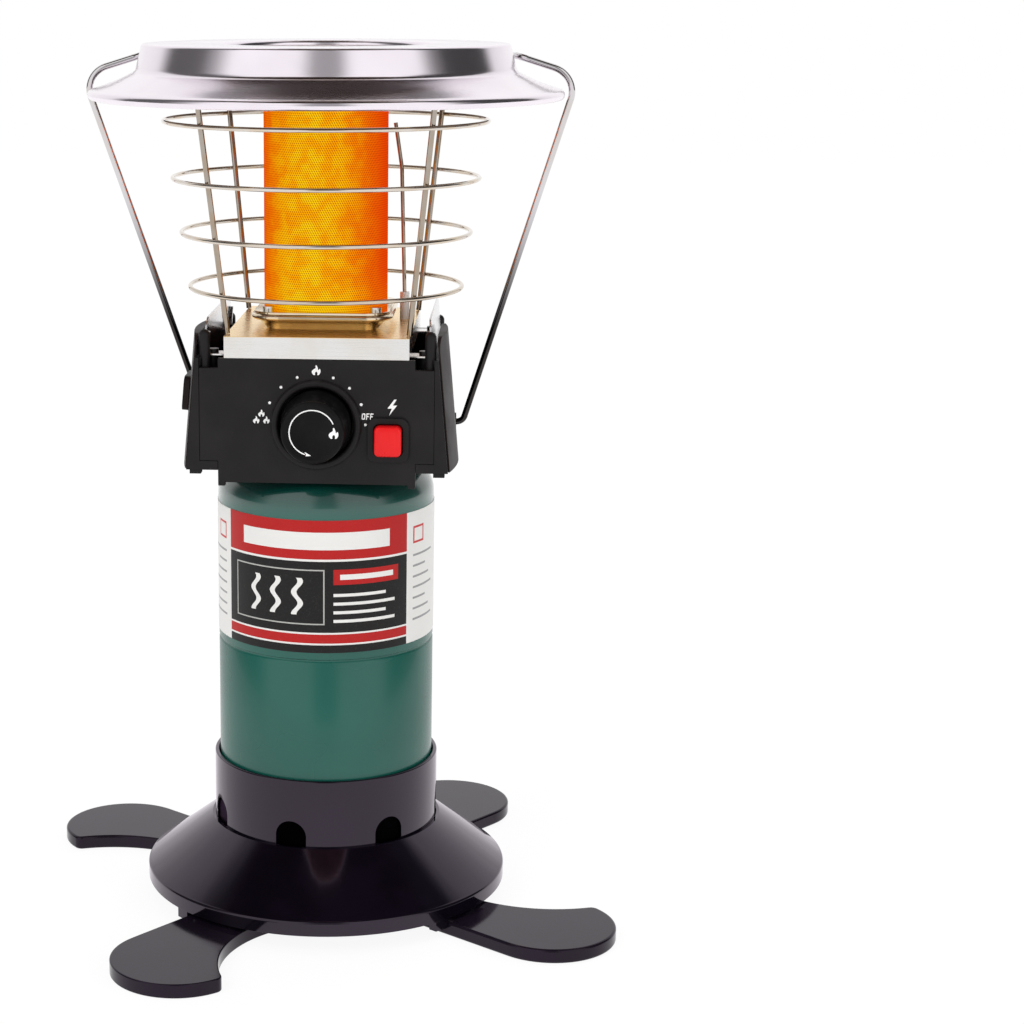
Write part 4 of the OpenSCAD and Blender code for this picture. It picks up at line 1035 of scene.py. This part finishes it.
    def build_knob_marks(self) -> None:
        """Prints the curved arrow and the pointer flame on the knob's face."""
        bm = bmesh.new()
        start = math.radians(self.arrow_start)
        ends = [bm.verts.new((r * MM * math.cos(start), r * MM * math.sin(start), 0.0))
                for r in (self.arrow_r, self.arrow_r + self.arrow_w)]
        edge = bm.edges.new(ends)
        bmesh.ops.spin(bm, geom=[*ends, edge], axis=(0, 0, 1), cent=(0, 0, 0),
                       angle=math.radians(self.arrow_sweep), steps=72)
        flat = bmesh.ops.extrude_face_region(bm, geom=bm.faces[:])
        raised = [v for v in flat["geom"] if isinstance(v, bmesh.types.BMVert)]
        bmesh.ops.translate(bm, vec=(0, 0, self.ink * MM), verts=raised)
        bmesh.ops.recalc_face_normals(bm, faces=bm.faces)
        self.mark("knob_arrow", bm, 0.0, 0.0, Body.KNOB, self.knob_out)
        x, y = self.tip_shift
        place = Matrix.Translation((x * MM, (y - self.arrow_r) * MM, 0.0))
        place = place @ Matrix.Rotation(math.radians(self.tip_turn), 4, "Z")
        tip = self.shop.move(self.shop.flat_outline([self.ARROW_TIP], self.ink), place)
        self.mark("knob_arrow_tip", tip, 0.0, 0.0, Body.KNOB, self.knob_out)
        pointer = self.flame(self.pointer_h)
        self.mark("knob_flame", pointer, self.pointer_at, 0.0, Body.KNOB, self.knob_out)


class Burner(Assembly):
    """The tray, pan, base, glowing tube, electrode and heat shields."""

    COPIES = (
        (Body.HEAD, "tray_bright", Edge(0.5, 3, 20.0), "burner_tray"),
        (Body.HEAD, "pan_polished", Edge(0.4, 3), "burner_base"),
        (Body.HEAD, "shield_bright", Edge(0.25, 2), "heat_shield_right", "heat_shield_left"),
    )
    DRESSED = {
        "pan_polished": ("burner_pan",),
        "black_oxide": ("tray_screws",),
        "plated_bright": ("base_screws", "inner_tube", "burner_cap"),
        "burner_glow": ("burner_mesh",),
        "electrode_tinted": ("spark_electrode",),
        "ceramic_glaze": ("electrode_insulator",),
    }


class Guard(Assembly):
    """The wire guard round the burner."""

    DRESSED = {
        # The rods carry painted reflection: a darker copy of the guard's steel
        "rod_wire_dark_reflection": ("guard_rods",),
        "guard_wire": ("guard_ring_1", "guard_ring_2", "guard_ring_3", "guard_ring_4"),
    }


@dataclass
class Hood(Assembly):
    """The spun hood with its rolled brim."""

    DRESSED = {"tray_bright": ("hood_tabs",), "plated_bright": ("hood_rivets",)}

    top: float = 397.2
    hole: float = 46.5
    hole_lip: float = 2.0
    hole_depth: float = 4.5
    band_top: float = 82.2
    band_foot: float = 84.8
    band_height: float = 10.6
    edge: float = 1.5
    fold: float = 3.6
    brim: float = 106.2
    brim_drop: float = 10.3
    brim_steps: int = 12
    brim_sag: Spot = (0.2, 0.45)
    hem: float = 2.2
    hem_drop: float = 1.2
    hem_start: float = 68.0
    sheet: float = 1.0
    steps: int = 192

    def profile(self) -> list[Spot]:
        """The hood's outside from its inner lip to the end of the rolled hem."""
        foot_z = self.top - self.band_height
        hem = (self.brim - self.hem, foot_z - self.brim_drop - self.hem_drop)
        fold = arc((self.band_foot + 3.2, foot_z + 1.0), self.fold, 190, 248, 10)
        roll = arc(hem, self.hem, self.hem_start, -170, 24)
        (x0, z0), (x1, z1) = fold[-1], roll[0]
        brim = []
        for k in range(1, self.brim_steps):
            t = k / self.brim_steps
            sag = math.sin(math.pi * t)
            brim.append((x0 + (x1 - x0) * t - sag * self.brim_sag[0],
                         z0 + (z1 - z0) * t - sag * self.brim_sag[1]))
        return (
            [(self.hole, self.top - self.hole_depth)]
            + arc((self.hole + self.hole_lip, self.top - self.hole_lip), self.hole_lip, 180, 90, 10)
            + arc((self.band_top - self.edge, self.top - self.edge), self.edge, 90, 14, 8)
            + fold
            + brim
            + roll
        )

    def build(self) -> None:
        """Makes the hood's pieces."""
        shape = self.shop.lathe(self.profile(), self.steps)
        piece = self.shop.settle("hood_spun", shape, Body.HEAD, "hood_spun", "hood", "hood_brim")
        wall = piece.modifiers.new("wall", "SOLIDIFY")
        wall.thickness = self.sheet * MM
        wall.offset = -1.0
        piece.data.materials.append(self.shop.palette.material("hood_inside"))
        wall.material_offset = 1
        super().build()


class Bail(Assembly):
    """The carrying bail."""

    DRESSED = {"bail_wire": ("bail",)}


# ---------- studio ----------


@dataclass
class Studio:
    """The floor, the lights, the surroundings and the camera. Lengths here are in metres."""

    # What polished surfaces mirror: angle from the front towards +X, and brightness there
    BANDS = (
        (-180, 1.0), (-150, 0.95), (-118, 0.85), (-106, 0.10), (-78, 0.12), (-66, 0.45),
        (-56, 1.0), (-12, 1.0), (-3, 0.34), (13, 0.32), (21, 1.0), (64, 1.0), (74, 0.25),
        (84, 0.05), (120, 0.05), (128, 0.80), (150, 0.95), (180, 1.0),
    )
    # Dark windows overhead, which the hood mirrors: steps of the direction's x, y and z
    AHEAD_Z, AHEAD_Y = (0.80, 0.86), (0.1, 0.3, 1.0, 0.0)
    BEHIND_Z, BEHIND_Y = (0.66, 0.74), (0.2, 0.35)
    BEHIND_X_LEFT, BEHIND_X_RIGHT = (-0.20, -0.14), (0.13, 0.19, 1.0, 0.0)
    OVERHEAD, OVERHEAD_TONE = 0.02, (1.0, 0.70, 0.52)
    PLAIN = 0.62
    # Lamps: name, place, size and power
    LAMPS = (
        ("key", (-1.1, -1.5, 1.5), 1.1, 21.0), ("fill", (1.5, -1.1, 0.9), 1.0, 9.0),
        ("top", (0.1, 0.2, 2.1), 1.2, 12.0), ("back", (0.6, 1.7, 1.3), 1.0, 8.0),
    )
    LAMPS_AIM = (0.0, 0.0, 0.2)
    FLOOR_GREY = (0.82, 0.82, 0.82)
    FLOOR_GLOW = 1.02

    floor_size: float = 9.0
    floor_z: float = -0.0002
    # Between these distances in millimetres the shadow fades, and nearby it is this strong
    shadow: Spot = (150.0, 420.0)
    shadow_share: float = 0.1
    lens: float = 82.65
    sensor: float = 36.0
    shift: float = 0.1816
    camera_at: Point = (0.0928, -1.0609, 0.4260)
    tilt: float = 12.83
    turn: float = 5.0
    clip: Spot = (0.05, 50.0)

    def build(self) -> None:
        """Sets the stage."""
        self.build_floor()
        self.build_world()
        self.build_lamps()
        self.build_camera()

    def ramp_place(self, angle: Number) -> Number:
        """Turns an angle round the stage into a place on a colour ramp."""
        return angle / 360.0 + 0.5

    def rays(self, g: Graph) -> list[Value]:
        """1 on camera rays, otherwise 0, and the same for glossy rays."""
        path = g.node("LightPath")
        return [Value(g, path.outputs[f"Is {kind} Ray"]) for kind in ("Camera", "Glossy")]

    def build_floor(self) -> None:
        """Lays a pale floor that looks white and keeps a soft shadow."""
        bm = bmesh.new()
        bmesh.ops.create_grid(bm, x_segments=1, y_segments=1, size=self.floor_size / 2)
        mesh = bpy.data.meshes.new("floor")
        bm.to_mesh(mesh)
        bm.free()
        floor = add_object("floor", mesh)
        floor.location.z = self.floor_z
        g = MaterialGraph("floor_white")
        camera, glossy = self.rays(g)
        matt = g.node("BsdfDiffuse", sockets={"Color": self.FLOOR_GREY})
        white = g.node("Emission", sockets={"Color": WHITE, "Strength": self.FLOOR_GLOW})
        far = distance(g.x, g.y).ease(*self.shadow) * self.shadow_share
        share = camera.larger(glossy) * (far + (1.0 - self.shadow_share))
        sockets = {0: share, 1: matt.outputs[0], 2: white.outputs[0]}
        g.finish(g.node("MixShader", sockets=sockets))
        mesh.materials.append(g.material)

    def build_world(self) -> None:
        """Makes the surroundings: white to the eye, with soft dark and bright bands for gloss."""
        world = bpy.data.worlds.new("studio")
        bpy.context.scene.world = world
        world.use_nodes = True
        g = Graph(world.node_tree, "OutputWorld")
        x, y, z = g.split(g.node("TexCoord").outputs["Generated"])
        camera, glossy = self.rays(g)
        stops = [(self.ramp_place(angle), (level, level, level)) for angle, level in self.BANDS]
        bands = g.ramp(self.ramp_place(bearing(x, y)), stops)
        low = Value(g, g.node("SeparateColor", sockets={0: bands}).outputs[0])
        ahead = z.ease(*self.AHEAD_Z) * y.ease(*self.AHEAD_Y)
        behind = (z.ease(*self.BEHIND_Z) * y.ease(*self.BEHIND_Y)
                  * x.ease(*self.BEHIND_X_LEFT) * x.ease(*self.BEHIND_X_RIGHT))
        overhead = ahead.larger(behind)
        mirrored = low * (1.0 - overhead) + overhead * self.OVERHEAD
        level = camera + (1.0 - camera) * (glossy * mirrored + (1.0 - glossy) * self.PLAIN)
        tone = g.blend(overhead * glossy, WHITE, self.OVERHEAD_TONE)
        g.finish(g.node("Background", sockets={"Color": tone, "Strength": level}))

    def build_lamps(self) -> None:
        """Hangs the soft lamps."""
        for name, place, size, power in self.LAMPS:
            light = bpy.data.lights.new(name, "AREA")
            light.shape = "SQUARE"
            light.size = size
            light.energy = power
            lamp = add_object(name, light)
            lamp.location = place
            aim = Vector(self.LAMPS_AIM) - Vector(place)
            lamp.rotation_euler = aim.to_track_quat("-Z", "Y").to_euler()
            lamp.visible_glossy = False

    def build_camera(self) -> None:
        """Sets up the camera."""
        data = bpy.data.cameras.new("camera")
        data.lens = self.lens
        data.sensor_width = self.sensor
        data.shift_x = self.shift
        data.clip_start, data.clip_end = self.clip
        camera = add_object("camera", data)
        camera.location = self.camera_at
        camera.rotation_euler = (math.radians(90.0 - self.tilt), 0.0, math.radians(self.turn))
        bpy.context.scene.camera = camera


def main() -> None:
    """Builds the whole scene in order."""
    logging.basicConfig(level=logging.INFO, format="%(message)s")
    bpy.context.scene.view_settings.view_transform = "Standard"
    shop = Workshop(Palette())
    Studio().build()
    for part in (Stand, GasTank, Housing, Controls, Burner, Guard, Hood, Bail):
        part(shop).build()
        LOG.info("built %s", part.__name__)


if __name__ == "__main__":
    main()
